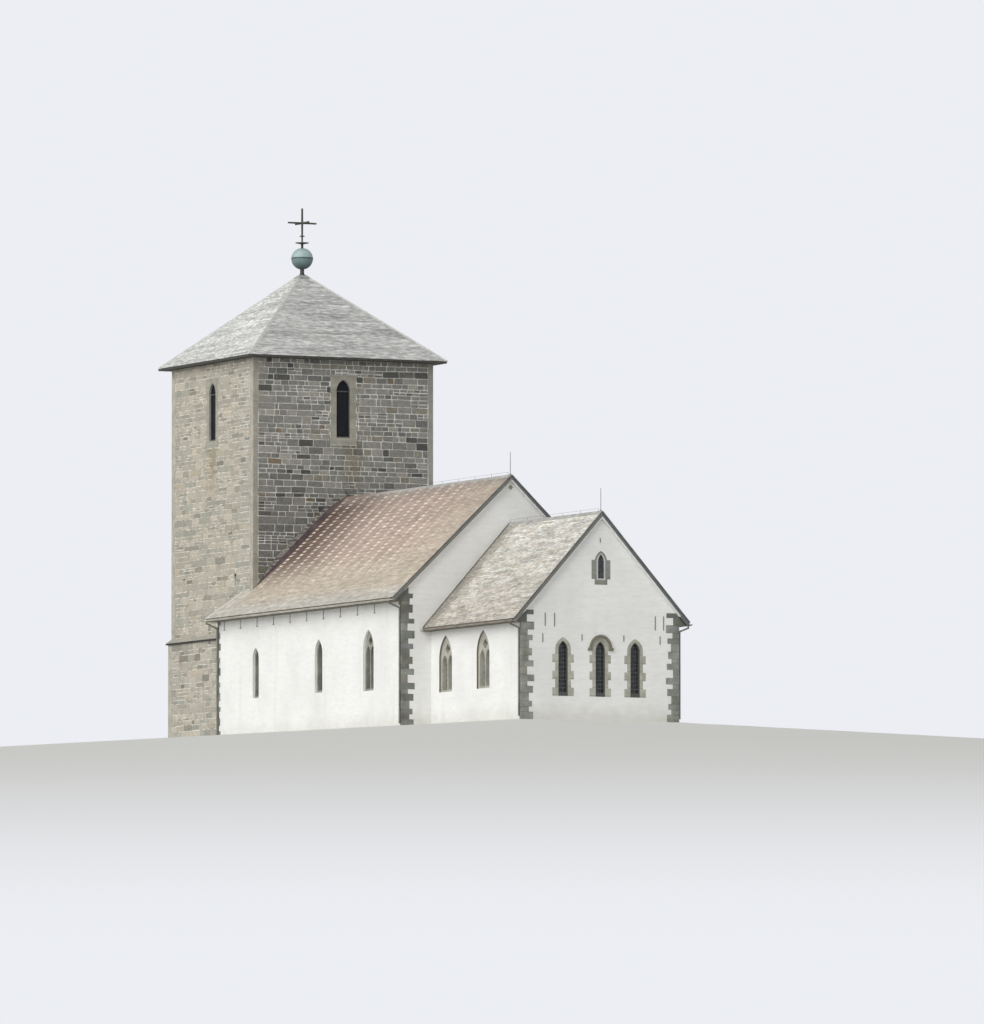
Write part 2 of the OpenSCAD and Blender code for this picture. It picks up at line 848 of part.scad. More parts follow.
// The strip of the roof beside the tower, hipped down to the west
module nave_strip() {
    difference() {
        intersection() {
            along_y(-eps, nave_west_y) polygon([
                [-nave_eave_x, nave_soffit_z], [-nave_eave_x, nave_eave_z],
                [-tower_half, nave_top(tower_half)], [-tower_half, nave_soffit_z]
            ]);
            along_x(-nave_eave_x, -tower_half) polygon([
                [-eps, nave_soffit_z], [-eps, nave_hip_top(-eps)],
                [nave_west_y, nave_eave_z], [nave_west_y, nave_soffit_z]
            ]);
        }
        intersection() {
            along_y(-2 * eps, nave_lap) polygon([
                [-nave_half, 0], [-nave_half, nave_under(nave_half)], [0, nave_under(0)], [0, 0]
            ]);
            along_x(-nave_half, 0) polygon([
                [-2 * eps, 0], [-2 * eps, nave_hip_under(-2 * eps)],
                [nave_lap, nave_hip_under(nave_lap)], [nave_lap, 0]
            ]);
        }
    }
}

// The slope stops at the tower face, and a strip of it runs on beside the tower
module nave_roof_side() {
    along_y(nave_verge_y + barge_t, 0)
        roof_slope(nave_eave_x, nave_eave_z, nave_ridge_z, nave_plumb);
    along_y(nave_gable_y, 0)
        eave_box(nave_half, nave_eave_x, nave_eave_z, nave_under(nave_half));
    nave_strip();
}

module nave_roof_south() {
    color("rosybrown") nave_roof_side();
}

module nave_roof_north() {
    color("rosybrown") mirror([1, 0, 0]) nave_roof_side();
}

// A board down one slope, cut level at its foot and plumb at the ridge
module bargeboard(eave_x, eave_z, ridge_z, board_h) {
    slope = (ridge_z - eave_z) / eave_x;
    foot_z = eave_z - eave_edge_h;
    foot_x = eave_x - (board_h - eave_edge_h) / slope;
    joint_x = eps / 2;
    polygon([
        [-foot_x, foot_z], [-eave_x, foot_z], [-eave_x, eave_z],
        [-joint_x, ridge_z - joint_x * slope], [-joint_x, ridge_z - board_h - joint_x * slope]
    ]);
}

module nave_bargeboards() {
    color("slategray") both_sides() along_y(nave_verge_y, nave_verge_y + barge_t)
        bargeboard(nave_eave_x, nave_eave_z, nave_ridge_z, nave_barge_h);
}

// Tilted fillet where the nave roof meets the east face of the tower, thin at the tower's corners
module nave_flashing() {
    run = 2 * nave_eave_x;
    start = -tower_half / cos(nave_pitch) - flashing_edge;
    tilt = atan((flashing_up - flashing_edge) / flashing_out);
    top = flashing_up * cos(tilt);
    color("rosybrown") both_sides() intersection() {
        translate([-tower_half, -2 * flashing_out, 0])
            cube([tower_half - eps / 2, 3 * flashing_out, nave_ridge_z + 2 * flashing_up]);
        translate([0, 0, nave_ridge_z]) rotate([0, -nave_pitch, 0]) intersection() {
            translate([-run, -flashing_out, 0]) cube([2 * run, flashing_out, flashing_up]);
            rotate([tilt, 0, 0]) along_y(-run, run) polygon([
                [start, 0], [start + flashing_run, top], [run, top], [run, -run], [start, -run]
            ]);
        }
    }
}

module nave_quoins() {
    color("gray") {
        nave_east_quoins();
        nave_west_quoins();
    }
}

module nave_window_stone() {
    color("lightgray") for (side = [south, north]) on_side_wall(nave_half, side)
        for (v = nave_windows) translate([v[0], 0, 0]) window_stone(v[1], v[2], v[3], v[4]);
}

module nave_window_glass() {
    color("dimgray") for (side = [south, north]) on_side_wall(nave_half, side)
        for (v = nave_windows) translate([v[0], 0, 0]) window_glass(v[1], v[2], v[3]);
}

// Chancel

module chancel_east_quoins() {
    intersection() {
        both_sides() translate([-chancel_half, chancel_gable_y, 0])
            quoin_stack(chancel_under(chancel_half - quoin_short), quoin_long, quoin_short);
        along_y(chancel_gable_y, chancel_gable_y + chancel_wall_t) chancel_gable_outline();
    }
}

module chancel_side_wall() {
    x0 = -chancel_half;
    x1 = -chancel_half + chancel_wall_t;
    difference() {
        along_y(chancel_gable_y + chancel_wall_t, nave_gable_y) polygon([
            [x0, 0], [x0, chancel_under(x0)], [x1, chancel_under(x1)], [x1, 0]
        ]);
        on_side_wall(chancel_half) for (v = chancel_windows)
            translate([nave_l + v[0], 0, 0]) window_cut(v[1], v[2], v[3], chancel_wall_t);
    }
}

module chancel_south_wall() {
    color("whitesmoke") chancel_side_wall();
}

module chancel_north_wall() {
    color("whitesmoke") mirror([1, 0, 0]) chancel_side_wall();
}

// Outline of one east lancet
module east_light_outline() {
    translate([0, east_sill_z]) pointed(east_w, east_spring_h, east_rise);
}

// Ring and jamb stones round an east lancet
module east_surround_outline() {
    translate([0, east_sill_z]) offset_arch(east_w, east_spring_h, east_rise, east_ring);
    jamb_stones(
        east_w / 2 + east_ring + 150, east_w / 2 + east_ring, 400,
        east_sill_z - 200, east_sill_z + east_spring_h * 0.9
    );
}

// The ring, jamb stones and sill stone of the light in the gable
module gable_light_outline() {
    translate([gable_light_x, gable_light_z])
        pointed(gable_light_w, gable_light_h - gable_light_w, gable_light_w);
}

module gable_surround_outline() {
    jamb_w = 1010;
    jamb_h = gable_light_h * 0.76;
    sill_w = 680;
    sill_h = 270;
    translate([gable_light_x, gable_light_z]) {
        offset_arch(gable_light_w, gable_light_h - gable_light_w, gable_light_w, gable_ring);
        translate([-jamb_w / 2, 0]) square([jamb_w, jamb_h]);
        translate([-sill_w / 2, -sill_h]) square([sill_w, sill_h + eps]);
    }
}

east_places = [-east_spacing - east_shift, 0, east_spacing - east_shift];

module chancel_gable_cuts() {
    translate([0, chancel_gable_y, 0]) {
        for (x = east_places) translate([x, 0, 0]) {
            along_y(-eps, east_stone_t) east_surround_outline();
            along_y(east_stone_t - eps, east_stone_t + glass_t) east_light_outline();
            along_y(east_stone_t + glass_t - eps, chancel_wall_t + eps) translate([0, east_sill_z - splay])
                offset_arch(east_w, east_spring_h + splay, east_rise, splay / 2);
        }
        along_y(-eps, east_stone_t) gable_surround_outline();
        along_y(east_stone_t - eps, east_stone_t + glass_t) gable_light_outline();
        along_y(east_stone_t + glass_t - eps, chancel_wall_t + eps)
            translate([gable_light_x, gable_light_z - splay]) offset_arch(
                gable_light_w, gable_light_h - gable_light_w + splay, gable_light_w, splay / 2
            );
    }
}

module chancel_east_gable() {
    color("whitesmoke") difference() {
        along_y(chancel_gable_y, chancel_gable_y + chancel_wall_t) chancel_gable_outline();
        chancel_east_quoins();
        chancel_gable_cuts();
    }
}

module chancel_floor() {
    x = chancel_half - chancel_wall_t;
    y0 = chancel_gable_y + chancel_wall_t;
    color("darkgray") translate([-x, y0, 0]) cube([2 * x, nave_gable_y - y0, floor_t]);
}

module chancel_roof_side() {
    along_y(chancel_verge_y + barge_t, nave_gable_y)
        roof_slope(chancel_eave_x, chancel_eave_z, chancel_ridge_z, chancel_plumb);
    along_y(chancel_gable_y, nave_gable_y)
        eave_box(chancel_half, chancel_eave_x, chancel_eave_z, chancel_under(chancel_half));
}

module chancel_roof_south() {
    color("tan") chancel_roof_side();
}

module chancel_roof_north() {
    color("tan") mirror([1, 0, 0]) chancel_roof_side();
}

module chancel_bargeboards() {
    color("slategray") both_sides() along_y(chancel_verge_y, chancel_verge_y + barge_t)
        bargeboard(chancel_eave_x, chancel_eave_z, chancel_ridge_z, chancel_barge_h);
}

module chancel_quoins() {
    color("gray") chancel_east_quoins();
}

module chancel_window_stone() {
    color("lightgray") for (side = [south, north]) on_side_wall(chancel_half, side)
        for (v = chancel_windows) translate([nave_l + v[0], 0, 0]) window_stone(v[1], v[2], v[3], v[4]);
}

module chancel_window_glass() {
    color("dimgray") for (side = [south, north]) on_side_wall(chancel_half, side)
        for (v = chancel_windows) translate([nave_l + v[0], 0, 0]) window_glass(v[1], v[2], v[3]);
}

// Hood on the middle lancet: a raised band round the arch, turned out to a stop at each foot
module east_hood() {
    band = hood_reach * 0.75;
    stop_w = 200;
    stop_h = 150;
    grow = east_ring + hood_reach;
    foot = east_sill_z + east_spring_h;
    inner = east_w / 2 + grow - band;
    translate([0, foot]) difference() {
        pointed(east_w + 2 * grow, stop_h, east_rise + grow - stop_h);
        pointed(east_w + 2 * (grow - band), stop_h, east_rise + grow - band - stop_h);
        translate([-inner, -eps]) square([2 * inner, 2 * eps]);
    }
    for (side = [0, 1]) mirror([side, 0]) translate([inner, foot]) square([stop_w, stop_h]);
}

module east_window_stone() {
    color("darkgray") translate([0, chancel_gable_y, 0]) {
        for (x = east_places) translate([x, 0, 0]) along_y(0, east_stone_t) difference() {
            east_surround_outline();
            east_light_outline();
        }
        along_y(0, east_stone_t) difference() {
            gable_surround_outline();
            gable_light_outline();
        }
        along_y(-hood_out, 0) east_hood();
    }
}

module east_window_glass() {
    color("dimgray") translate([0, chancel_gable_y, 0])
        along_y(east_stone_t, east_stone_t + glass_t) {
            for (x = east_places) translate([x, 0]) east_light_outline();
            gable_light_outline();
        }
}

// Ridges, gutters, pipes and irons

module ridge_cap(y0, y1, ridge_z, slope) {
    drop = ridge_half_w * slope;
    plumb = ridge_t * sqrt(1 + slope * slope);
    along_y(y0, y1) polygon([
        [-ridge_half_w, ridge_z - drop], [-ridge_half_w, ridge_z - drop + plumb], [0, ridge_z + plumb],
        [ridge_half_w, ridge_z - drop + plumb], [ridge_half_w, ridge_z - drop], [0, ridge_z]
    ]);
}

module ridge_caps() {
    color("darkgray") {
        ridge_cap(nave_verge_y, -flashing_out, nave_ridge_z, nave_slope);
        ridge_cap(chancel_verge_y, nave_gable_y, chancel_ridge_z, chancel_slope);
    }
}

// Half-round gutter against the plumb edge of the eaves
gutter_drop = 70;

module gutter(y0, y1, eave_x, eave_z) {
    along_y(y0, y1) translate([-eave_x - gutter_r, eave_z - gutter_drop]) difference() {
        circle(gutter_r);
        circle(gutter_r - gutter_t);
        translate([-gutter_r, 0]) square([2 * gutter_r, gutter_r + eps]);
    }
}

module gutters() {
    color("dimgray") both_sides() {
        gutter(nave_verge_y, nave_west_y, nave_eave_x, nave_eave_z);
        gutter(chancel_verge_y, nave_gable_y, chancel_eave_x, chancel_eave_z);
    }
}

// A pipe from the gutter back to the wall and down it, with clamps
module downpipe(half, eave_x, eave_z) {
    gutter_x = -eave_x - gutter_r;
    wall_x = -half - pipe_gap - pipe_r;
    outlet_z = eave_z - gutter_drop - gutter_r;
    outlet_h = 90;
    elbow_fall = 0.4;
    bend_z = outlet_z - outlet_h;
    knee_z = bend_z - (wall_x - gutter_x) * elbow_fall;
    run = sqrt(pow(wall_x - gutter_x, 2) + pow(bend_z - knee_z, 2));
    lean = atan2(wall_x - gutter_x, bend_z - knee_z);
    elbow_r = pipe_r + 8;
    foot_z = 160;
    clamp_h = 60;
    translate([gutter_x, 0, bend_z]) cylinder(h = outlet_z - bend_z, r = pipe_r);
    translate([gutter_x, 0, bend_z]) sphere(elbow_r);
    translate([gutter_x, 0, bend_z]) rotate([0, 180 - lean, 0]) cylinder(h = run, r = pipe_r);
    translate([wall_x, 0, knee_z]) sphere(elbow_r);
    translate([wall_x, 0, foot_z]) cylinder(h = knee_z - foot_z, r = pipe_r);
    for (share = [0.12, 0.5, 0.88])
        translate([wall_x, -pipe_r - 8, share * knee_z]) cube([-half - wall_x, 2 * pipe_r + 16, clamp_h]);
}

pipe_edge = 80;

module downpipes() {
    color("dimgray") both_sides() {
        translate([0, nave_gable_y + pipe_edge, 0]) downpipe(nave_half, nave_eave_x, nave_eave_z);
        translate([0, nave_lap - pipe_edge, 0]) downpipe(nave_half, nave_eave_x, nave_eave_z);
        translate([0, chancel_gable_y + pipe_edge, 0])
            downpipe(chancel_half, chancel_eave_x, chancel_eave_z);
    }
}

module lightning_rod(y, ridge_z, slope) {
    top = ridge_z + ridge_t * sqrt(1 + slope * slope);
    base = 25;
    translate([0, y, top]) {
        cylinder(h = spike_h, r = spike_r);
        translate([-base, -base, -base * slope]) cube([2 * base, 2 * base, base * (2 + slope)]);
    }
}

module lightning_rods() {
    color("dimgray") difference() {
        union() {
            lightning_rod(nave_verge_y + 150, nave_ridge_z, nave_slope);
            lightning_rod(chancel_verge_y + 150, chancel_ridge_z, chancel_slope);
        }
        ridge_caps();
    }
}

module wall_irons() {
    iron_foot = nave_soffit_z - nave_iron_h - 10;
    color("black") {
        translate([0, chancel_gable_y, 0]) for (v = gable_irons)
            translate([v[0] - iron_w / 2, -iron_t, v[1]]) cube([iron_w, iron_t, v[2]]);
        for (side = [south, north]) on_side_wall(nave_half, side) for (i = [0 : nave_iron_count - 1])
            translate([-nave_lap + nave_iron_west + i * nave_iron_step - iron_w / 2, -iron_t, iron_foot])
                cube([iron_w, iron_t, nave_iron_h]);
    }
}

centred() tower_east_wall();
centred() tower_west_wall();
centred() tower_south_wall();
centred() tower_north_wall();
centred() tower_course();
centred() tower_floor();
centred() belfry_floor();
centred() belfry_surrounds();
centred() belfry_shutters();
centred() west_portal();
centred() west_door();
centred() tower_roof_east();
centred() tower_roof_west();
centred() tower_roof_south();
centred() tower_roof_north();
centred() finial_post();
centred() finial_ball();
centred() finial_cross();
centred() nave_south_wall();
centred() nave_north_wall();
centred() nave_east_gable();
centred() nave_floor();
centred() nave_roof_south();
centred() nave_roof_north();
centred() nave_bargeboards();
centred() nave_flashing();
centred() nave_quoins();
centred() nave_window_stone();
centred() nave_window_glass();
centred() chancel_south_wall();
centred() chancel_north_wall();
centred() chancel_east_gable();
centred() chancel_floor();
centred() chancel_roof_south();
centred() chancel_roof_north();
centred() chancel_bargeboards();
centred() chancel_quoins();
centred() chancel_window_stone();
centred() chancel_window_glass();
centred() east_window_stone();
centred() east_window_glass();
centred() ridge_caps();
centred() gutters();
centred() downpipes();
centred() lightning_rods();
centred() wall_irons();
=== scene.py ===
"""Looks of a small stone church: rubble tower, slated roofs, lime-rendered nave and chancel.

Metres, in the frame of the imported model: -Y is east (the chancel gable), -X is south.
"""

import math
import random

import bpy
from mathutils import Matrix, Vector, noise


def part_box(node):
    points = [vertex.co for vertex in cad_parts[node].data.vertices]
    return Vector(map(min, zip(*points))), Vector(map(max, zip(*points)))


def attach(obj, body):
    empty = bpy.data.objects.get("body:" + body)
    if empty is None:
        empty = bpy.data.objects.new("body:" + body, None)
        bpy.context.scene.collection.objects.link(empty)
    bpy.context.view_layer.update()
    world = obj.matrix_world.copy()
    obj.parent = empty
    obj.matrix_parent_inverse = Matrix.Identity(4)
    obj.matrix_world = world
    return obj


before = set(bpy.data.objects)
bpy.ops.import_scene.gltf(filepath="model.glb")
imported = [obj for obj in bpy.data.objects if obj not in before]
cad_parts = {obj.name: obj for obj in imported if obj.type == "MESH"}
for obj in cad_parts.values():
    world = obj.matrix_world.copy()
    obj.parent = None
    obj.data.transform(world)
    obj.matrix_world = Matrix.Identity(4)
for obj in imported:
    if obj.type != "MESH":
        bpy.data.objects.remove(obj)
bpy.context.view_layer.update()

EAST = Vector((0, -1, 0))
WEST = Vector((0, 1, 0))
SOUTH = Vector((-1, 0, 0))
NORTH = Vector((1, 0, 0))
UP = Vector((0, 0, 1))
SIDES = {-1: SOUTH, 1: NORTH}

# Sizes that the frame's boxes don't give
EAVE_EDGE = 0.16
POINT_CUT = 0.13
TOWER_RISE = 4.65
LANCET_HALF = 0.385
LANCET_SILL = 15.33
LANCET_SPRING = 17.75
LANCET_RISE = 0.58
LANCET_PLACES = (-1.99, 0.0, 1.87)
BOARD_SOUTH = 0.165
BOARD_NORTH = 0.14
# Width, sill, apex and rise of pointed openings
EAST_LANCET = (0.43, 1.35, 3.75, 0.40)
GABLE_LIGHT = (0.46, 6.75, 8.04, 0.43)


def least(node):
    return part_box(node)[0]


def most(node):
    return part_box(node)[1]


class Wing:
    """Sizes of the nave or the chancel; start is the west end of its slates."""

    def __init__(self, name, start):
        wall, roof = name + "_south_wall", name + "_roof_south"
        self.start = start
        self.half = -least(wall).x
        self.end = most(wall).y
        self.gable = least(name + "_east_gable").y
        self.length = start - self.gable
        self.eave_x = -least(roof).x
        self.soffit = least(roof).z
        self.eave = self.soffit + EAVE_EDGE
        self.ridge = most(roof).z
        self.verge = least(name + "_bargeboards").y
        self.slope = (self.ridge - self.eave) / self.eave_x
        self.pitch = math.atan(self.slope)
        self.slope_length = math.hypot(self.eave_x, self.ridge - self.eave)

    def surface(self, side, y=None):
        """The top of a slope; u runs east on the south side and west on the north side."""
        foot = Vector((side * self.eave_x, self.start if y is None else y, self.eave))
        return roof_surface(foot, SIDES[side], self.pitch)


tower_half = most("tower_east_wall").x
tower_east = least("tower_east_wall").y
base_out = most("tower_west_wall").x - tower_half
tower_west = most("tower_west_wall").y - base_out
tower_mid = (tower_east + tower_west) / 2
base_top = least("tower_course").z
course_top = most("tower_course").z
roof_half = most("tower_roof_east").x
tower_apex = most("tower_roof_east").z + POINT_CUT
tower_eave = tower_apex - TOWER_RISE
nave = Wing("nave", tower_east)
nave_west = most("nave_roof_south").y
chancel = Wing("chancel", nave.gable)


def linear(value):
    """One channel from 0-255 as seen on a screen to a linear value."""
    c = value / 255
    return c / 12.92 if c <= 0.04045 else ((c + 0.055) / 1.055) ** 2.4


def colour(red, green, blue):
    return (linear(red), linear(green), linear(blue))


def grey(value):
    return (value, value, value)


def blend(a, b, share):
    share = min(1.0, max(0.0, share))
    return tuple(x + (y - x) * share for x, y in zip(a, b))


def scaled(tone, factor):
    return tuple(min(1.0, x * factor) for x in tone)


def step(low, high, value):
    """Smooth 0 to 1 as value goes from low to high."""
    t = min(1.0, max(0.0, (value - low) / (high - low)))
    return t * t * (3 - 2 * t)


def arch_radius(w, rise):
    """Radius of each side of a pointed arch."""
    return (rise * rise + w * w / 4) / w


def arch_half(height, w, spring, rise):
    """Half the clear width of a pointed opening at a height above its sill."""
    if height <= spring:
        return w / 2
    radius = arch_radius(w, rise)
    across = radius * radius - (height - spring) ** 2
    return max(0.0, math.sqrt(max(0.0, across)) - (radius - w / 2))


# Materials

NOISE_ROUGHNESS = 0.55
materials = {}


def add_node(tree, kind, inputs=(), **settings):
    """A new node; each of its inputs takes a number, a colour or another node's output."""
    node = tree.nodes.new("ShaderNode" + kind)
    for name, value in settings.items():
        setattr(node, name, value)
    for key, value in dict(inputs).items():
        socket = node.inputs[key]
        if isinstance(value, bpy.types.NodeSocket):
            tree.links.new(value, socket)
        elif socket.type == "RGBA":
            socket.default_value = (*value, 1.0)
        else:
            socket.default_value = value
    return node


class Shader:
    """A node material; its base colour is built up layer by layer."""

    def __init__(self, name, roughness, metallic=0.0, specular=0.3):
        materials[name] = bpy.data.materials.new(name)
        materials[name].use_nodes = True
        self.tree = materials[name].node_tree
        self.surface = self.tree.nodes["Principled BSDF"]
        self.surface.inputs["Roughness"].default_value = roughness
        self.surface.inputs["Metallic"].default_value = metallic
        self.surface.inputs["Specular IOR Level"].default_value = specular
        self.place = self.node("TexCoord").outputs["Object"]
        self.x, self.y, self.z = self.node("SeparateXYZ", {0: self.place}).outputs
        self.base = None

    def node(self, kind, inputs=(), **settings):
        return add_node(self.tree, kind, inputs, **settings)

    def noise(self, scale, detail, stretch=None, distortion=0.0):
        """Noise in the object's space, its coordinates multiplied by stretch."""
        place = self.place
        if stretch:
            place = self.node("Mapping", {"Vector": place, "Scale": stretch}).outputs[0]
        return self.node("TexNoise", {
            "Vector": place, "Scale": scale, "Detail": detail,
            "Roughness": NOISE_ROUGHNESS, "Distortion": distortion,
        }).outputs["Fac"]

    def tone(self):
        """The tone that each block or slate carries."""
        return self.node("Attribute", attribute_name="tone").outputs["Color"]

    def levels(self, value, low, high, out_low, out_high):
        return self.node("MapRange", {
            "Value": value, "From Min": low, "From Max": high,
            "To Min": out_low, "To Max": out_high,
        }, interpolation_type="SMOOTHSTEP").outputs["Result"]

    def rise(self, value, low, high, top=1.0):
        """0 below low, top above high."""
        return self.levels(value, low, high, 0.0, top)

    def fall(self, value, low, high, top=1.0):
        """top below low, 0 above high."""
        return self.levels(value, low, high, top, 0.0)

    def math(self, operation, *values):
        return self.node("Math", enumerate(values), operation=operation).outputs[0]

    def plus(self, a, b):
        return self.math("ADD", a, b)

    def minus(self, a, b):
        return self.math("SUBTRACT", a, b)

    def product(self, first, *others):
        for other in others:
            first = self.math("MULTIPLY", first, other)
        return first

    def away(self, value, centre=0.0):
        """How far a value is from a centre."""
        return self.math("ABSOLUTE", self.minus(value, centre))

    def mix(self, share, a, b, mode="MIX"):
        """Two colours; 0, 6 and 7 are the node's factor and its colours, 2 is the result."""
        inputs = {0: share, 6: a, 7: b}
        return self.node("Mix", inputs, data_type="RGBA", blend_type=mode).outputs[2]

    def patches(self, light, dark, scale, detail, low=0.3, high=0.72):
        """Light and dark patches of a noise."""
        return self.mix(self.rise(self.noise(scale, detail), low, high), light, dark)

    def paint(self, share, tone):
        """Lays a tone over the base."""
        self.base = self.mix(share, self.base, tone)

    def tint(self, share, factors):
        """Multiplies the base by factors."""
        self.base = self.mix(share, self.base, factors, "MULTIPLY")

    def relief(self, coarse, fine, share):
        """Height for the bump: a coarse noise and a share of a fine one."""
        return self.plus(self.noise(*coarse), self.product(self.noise(*fine), share))

    def finish(self, height=None, strength=0.4, distance=0.01):
        """Links the base and the bump."""
        self.tree.links.new(self.base, self.surface.inputs["Base Color"])
        if height is not None:
            bump = self.node("Bump", {"Strength": strength, "Distance": distance, "Height": height})
            self.tree.links.new(bump.outputs[0], self.surface.inputs["Normal"])


def lime_render():
    s = Shader("lime_render", roughness=0.95, specular=0.15)
    s.base = s.patches(colour(240, 240, 238), colour(230, 230, 228), 0.45, 5, 0.35, 0.7)
    streaks = s.noise(1.6, 6, (1, 1, 0.12))
    waves = s.noise(2.2, 7, (0.7, 0.7, 3), 0.5)
    lumps = s.noise(3.4, 6, (1, 1, 1.6))
    chips = s.noise(7, 8)
    s.paint(s.rise(streaks, 0.52, 0.78, 0.35), colour(212, 212, 205))
    s.paint(s.rise(waves, 0.42, 0.66, 0.3), colour(216, 217, 217))
    s.paint(s.rise(lumps, 0.36, 0.62, 0.3), colour(231, 230, 227))
    s.paint(s.rise(chips, 0.68, 0.76, 0.5), colour(188, 186, 176))
    # Stone reveals of the chancel's side windows, with painted shade along their outer edge
    depth = s.minus(chancel.half, s.away(s.x))
    reveal = s.product(
        s.rise(depth, 0.004, 0.01),
        s.fall(s.z, 4.7, 4.8),
        s.rise(s.y, chancel.gable + 0.6, chancel.gable + 0.7),
        s.fall(s.y, nave.gable - 0.4, nave.gable - 0.3),
    )
    s.paint(reveal, s.mix(s.rise(depth, 0.07, 0.09), colour(112, 108, 96), colour(186, 184, 173)))
    # Damp foot
    s.paint(s.fall(s.plus(s.z, s.noise(2.5, 5)), 0.4, 1.5, 0.35), colour(186, 186, 168))
    s.finish(s.relief((5, 6), (30, 4), 0.35), 0.5, 0.03)


def run_off(s):
    """Brown stains where rain runs off the sills of the belfry lancets."""
    beside = s.math("MINIMUM", s.away(s.x, 0.5), s.away(s.y, tower_mid))
    wet = s.product(
        s.fall(s.plus(beside, s.noise(1.6, 5)), 0.7, 1.25),
        s.rise(s.z, LANCET_SILL - 3.4, LANCET_SILL - 1.2, 0.55),
        s.fall(s.z, LANCET_SILL - 0.35, LANCET_SILL - 0.2),
    )
    s.tint(wet, (0.74, 0.64, 0.47))


MORTAR_PALE = colour(222, 220, 212)


def mortar(name, tone, broken):
    """Mortar between rubble, paler on the thicker lowest stage, weathered away in places."""
    s = Shader(name, roughness=0.95, specular=0.15)
    s.base = s.mix(s.rise(s.z, base_top, base_top + 0.05), MORTAR_PALE, tone)
    s.paint(s.rise(s.noise(2.6, 6), 0.40, 0.60, broken), scaled(tone, 0.46))
    run_off(s)
    s.finish(s.noise(24, 6), 0.5, 0.02)


def rubble_stone(name, damp, lichen_tone, mottling, painted_shade_low=False):
    """Split stone: the tone of each block, mottled along its beds, with lichen and damp."""
    s = Shader(name, roughness=0.88, specular=0.25)
    s.base = s.tone()
    s.tint(s.rise(s.noise(6, 8, (1, 1, 3)), 0.38, 0.62), grey(mottling))
    run_off(s)
    # Painted shade: darker below 10 m, fading out by 14.5 m, on the east face above the nave roof
    # and on the north face
    if painted_shade_low:  # above the nave roof
        s.tint(s.fall(s.z, 10, 14.5), (0.68, 0.69, 0.71))
    s.paint(s.rise(s.noise(3.2, 8), 0.62, 0.72, 0.35), lichen_tone)
    s.tint(s.rise(s.noise(0.9, 5, (1, 1, 0.15)), 0.5, 0.8, damp), (0.55, 0.54, 0.5))
    s.finish(s.relief((8, 7), (40, 4), 0.4), 0.6, 0.025)


def level_joints(s, height):
    """Fine level joints between courses of a height."""
    course = s.math("FRACT", s.math("DIVIDE", s.z, height))
    return s.rise(s.away(course, 0.5), 0.478, 0.492)


def dressed_stone(name, light, dark, change=None, joint_h=0):
    """Smooth worked stone, with a change to its base, and level joints if joint_h is given."""
    s = Shader(name, roughness=0.85, specular=0.25)
    s.base = s.patches(light, dark, 1.8, 6)
    if change:
        change(s)
    s.tint(s.rise(s.noise(14, 5), 0.35, 0.7), (0.88, 0.88, 0.87))
    height = s.noise(22, 5)
    if joint_h:
        joint = level_joints(s, joint_h)
        s.paint(joint, scaled(dark, 0.7))
        height = s.minus(height, s.product(joint, 0.8))
    s.finish(height, distance=0.015)


def block_tones(s):
    s.tint(1, s.tone())


def corner_tones(s):
    """The tone of each block, with painted shade on the tower's east face."""
    block_tones(s)
    s.tint(s.fall(s.y, tower_east - 0.006, tower_east + 0.002), grey(0.84))


def paler_chancel(s):
    chancel_stone = s.patches(colour(190, 188, 178), colour(166, 164, 154), 1.8, 6)
    s.paint(s.fall(s.y, nave.gable - 0.1, nave.gable), chancel_stone)


def east_window_stone():
    """Stone of the east windows, with a dark hood, and painted shade along the edge round the
    glass.
    """
    s = Shader("east_stone", roughness=0.85, specular=0.25)
    s.base = s.patches(colour(188, 187, 175), colour(158, 157, 146), 2.4, 6)
    s.tint(s.rise(s.z, 6, 6.1), (0.57, 0.59, 0.61))
    s.paint(s.fall(s.y, chancel.gable - 0.03, chancel.gable - 0.02), colour(124, 122, 108))
    s.paint(level_joints(s, 0.4), colour(100, 100, 94))
    # Painted shade in a narrow band round the glass of each lancet
    nearest = s.away(s.x, LANCET_PLACES[0])
    for x in LANCET_PLACES[1:]:
        nearest = s.math("MINIMUM", nearest, s.away(s.x, x))
    w, _, apex, rise = EAST_LANCET
    radius = arch_radius(w, rise)
    up = s.math("MAXIMUM", s.minus(s.z, apex - rise), 0)
    across = s.plus(nearest, radius - w / 2)
    squares = s.plus(s.math("POWER", across, 2), s.math("POWER", up, 2))
    edge = s.fall(s.minus(s.math("SQRT", squares), radius), 0.025, 0.045)
    s.paint(s.product(edge, s.fall(s.z, 5, 5.1)), colour(84, 84, 80))
    s.finish(s.noise(22, 5), distance=0.015)


def course_with_shaded_edge():
    """Slabs of the tower's course: stone-coloured on top, with painted shade along their outer edge
    and underside.
    """
    s = Shader("course", roughness=0.85, specular=0.25)
    s.base = s.patches(colour(170, 166, 154), colour(146, 143, 133), 2, 6)
    s.paint(s.fall(s.z, base_top + 0.075, base_top + 0.085), colour(58, 60, 60))
    s.finish(s.noise(14, 5), distance=0.015)


def slate(name, moss, lichen_share, lichen_tone, fine, dark, flat):
    """Split stone slates: the tone of each one, with streaks along the courses and lichen."""
    s = Shader(name, roughness=0.8)
    streaks = s.noise(2.6 * fine, 7, (1, 1, flat))
    lichen = s.noise(2.5 * fine, 9, (1, 1, 0.7 * flat))
    s.base = s.tone()
    s.tint(s.rise(streaks, 0.36, 0.64), grey(dark))
    s.paint(s.rise(lichen, 0.56, 0.68, lichen_share), lichen_tone)
    s.tint(s.rise(s.noise(0.8, 7), 0.55, 0.75, moss), (0.7, 0.68, 0.6))
    s.finish(s.relief((12, 6), (50, 3), 0.3), 0.5, 0.015)


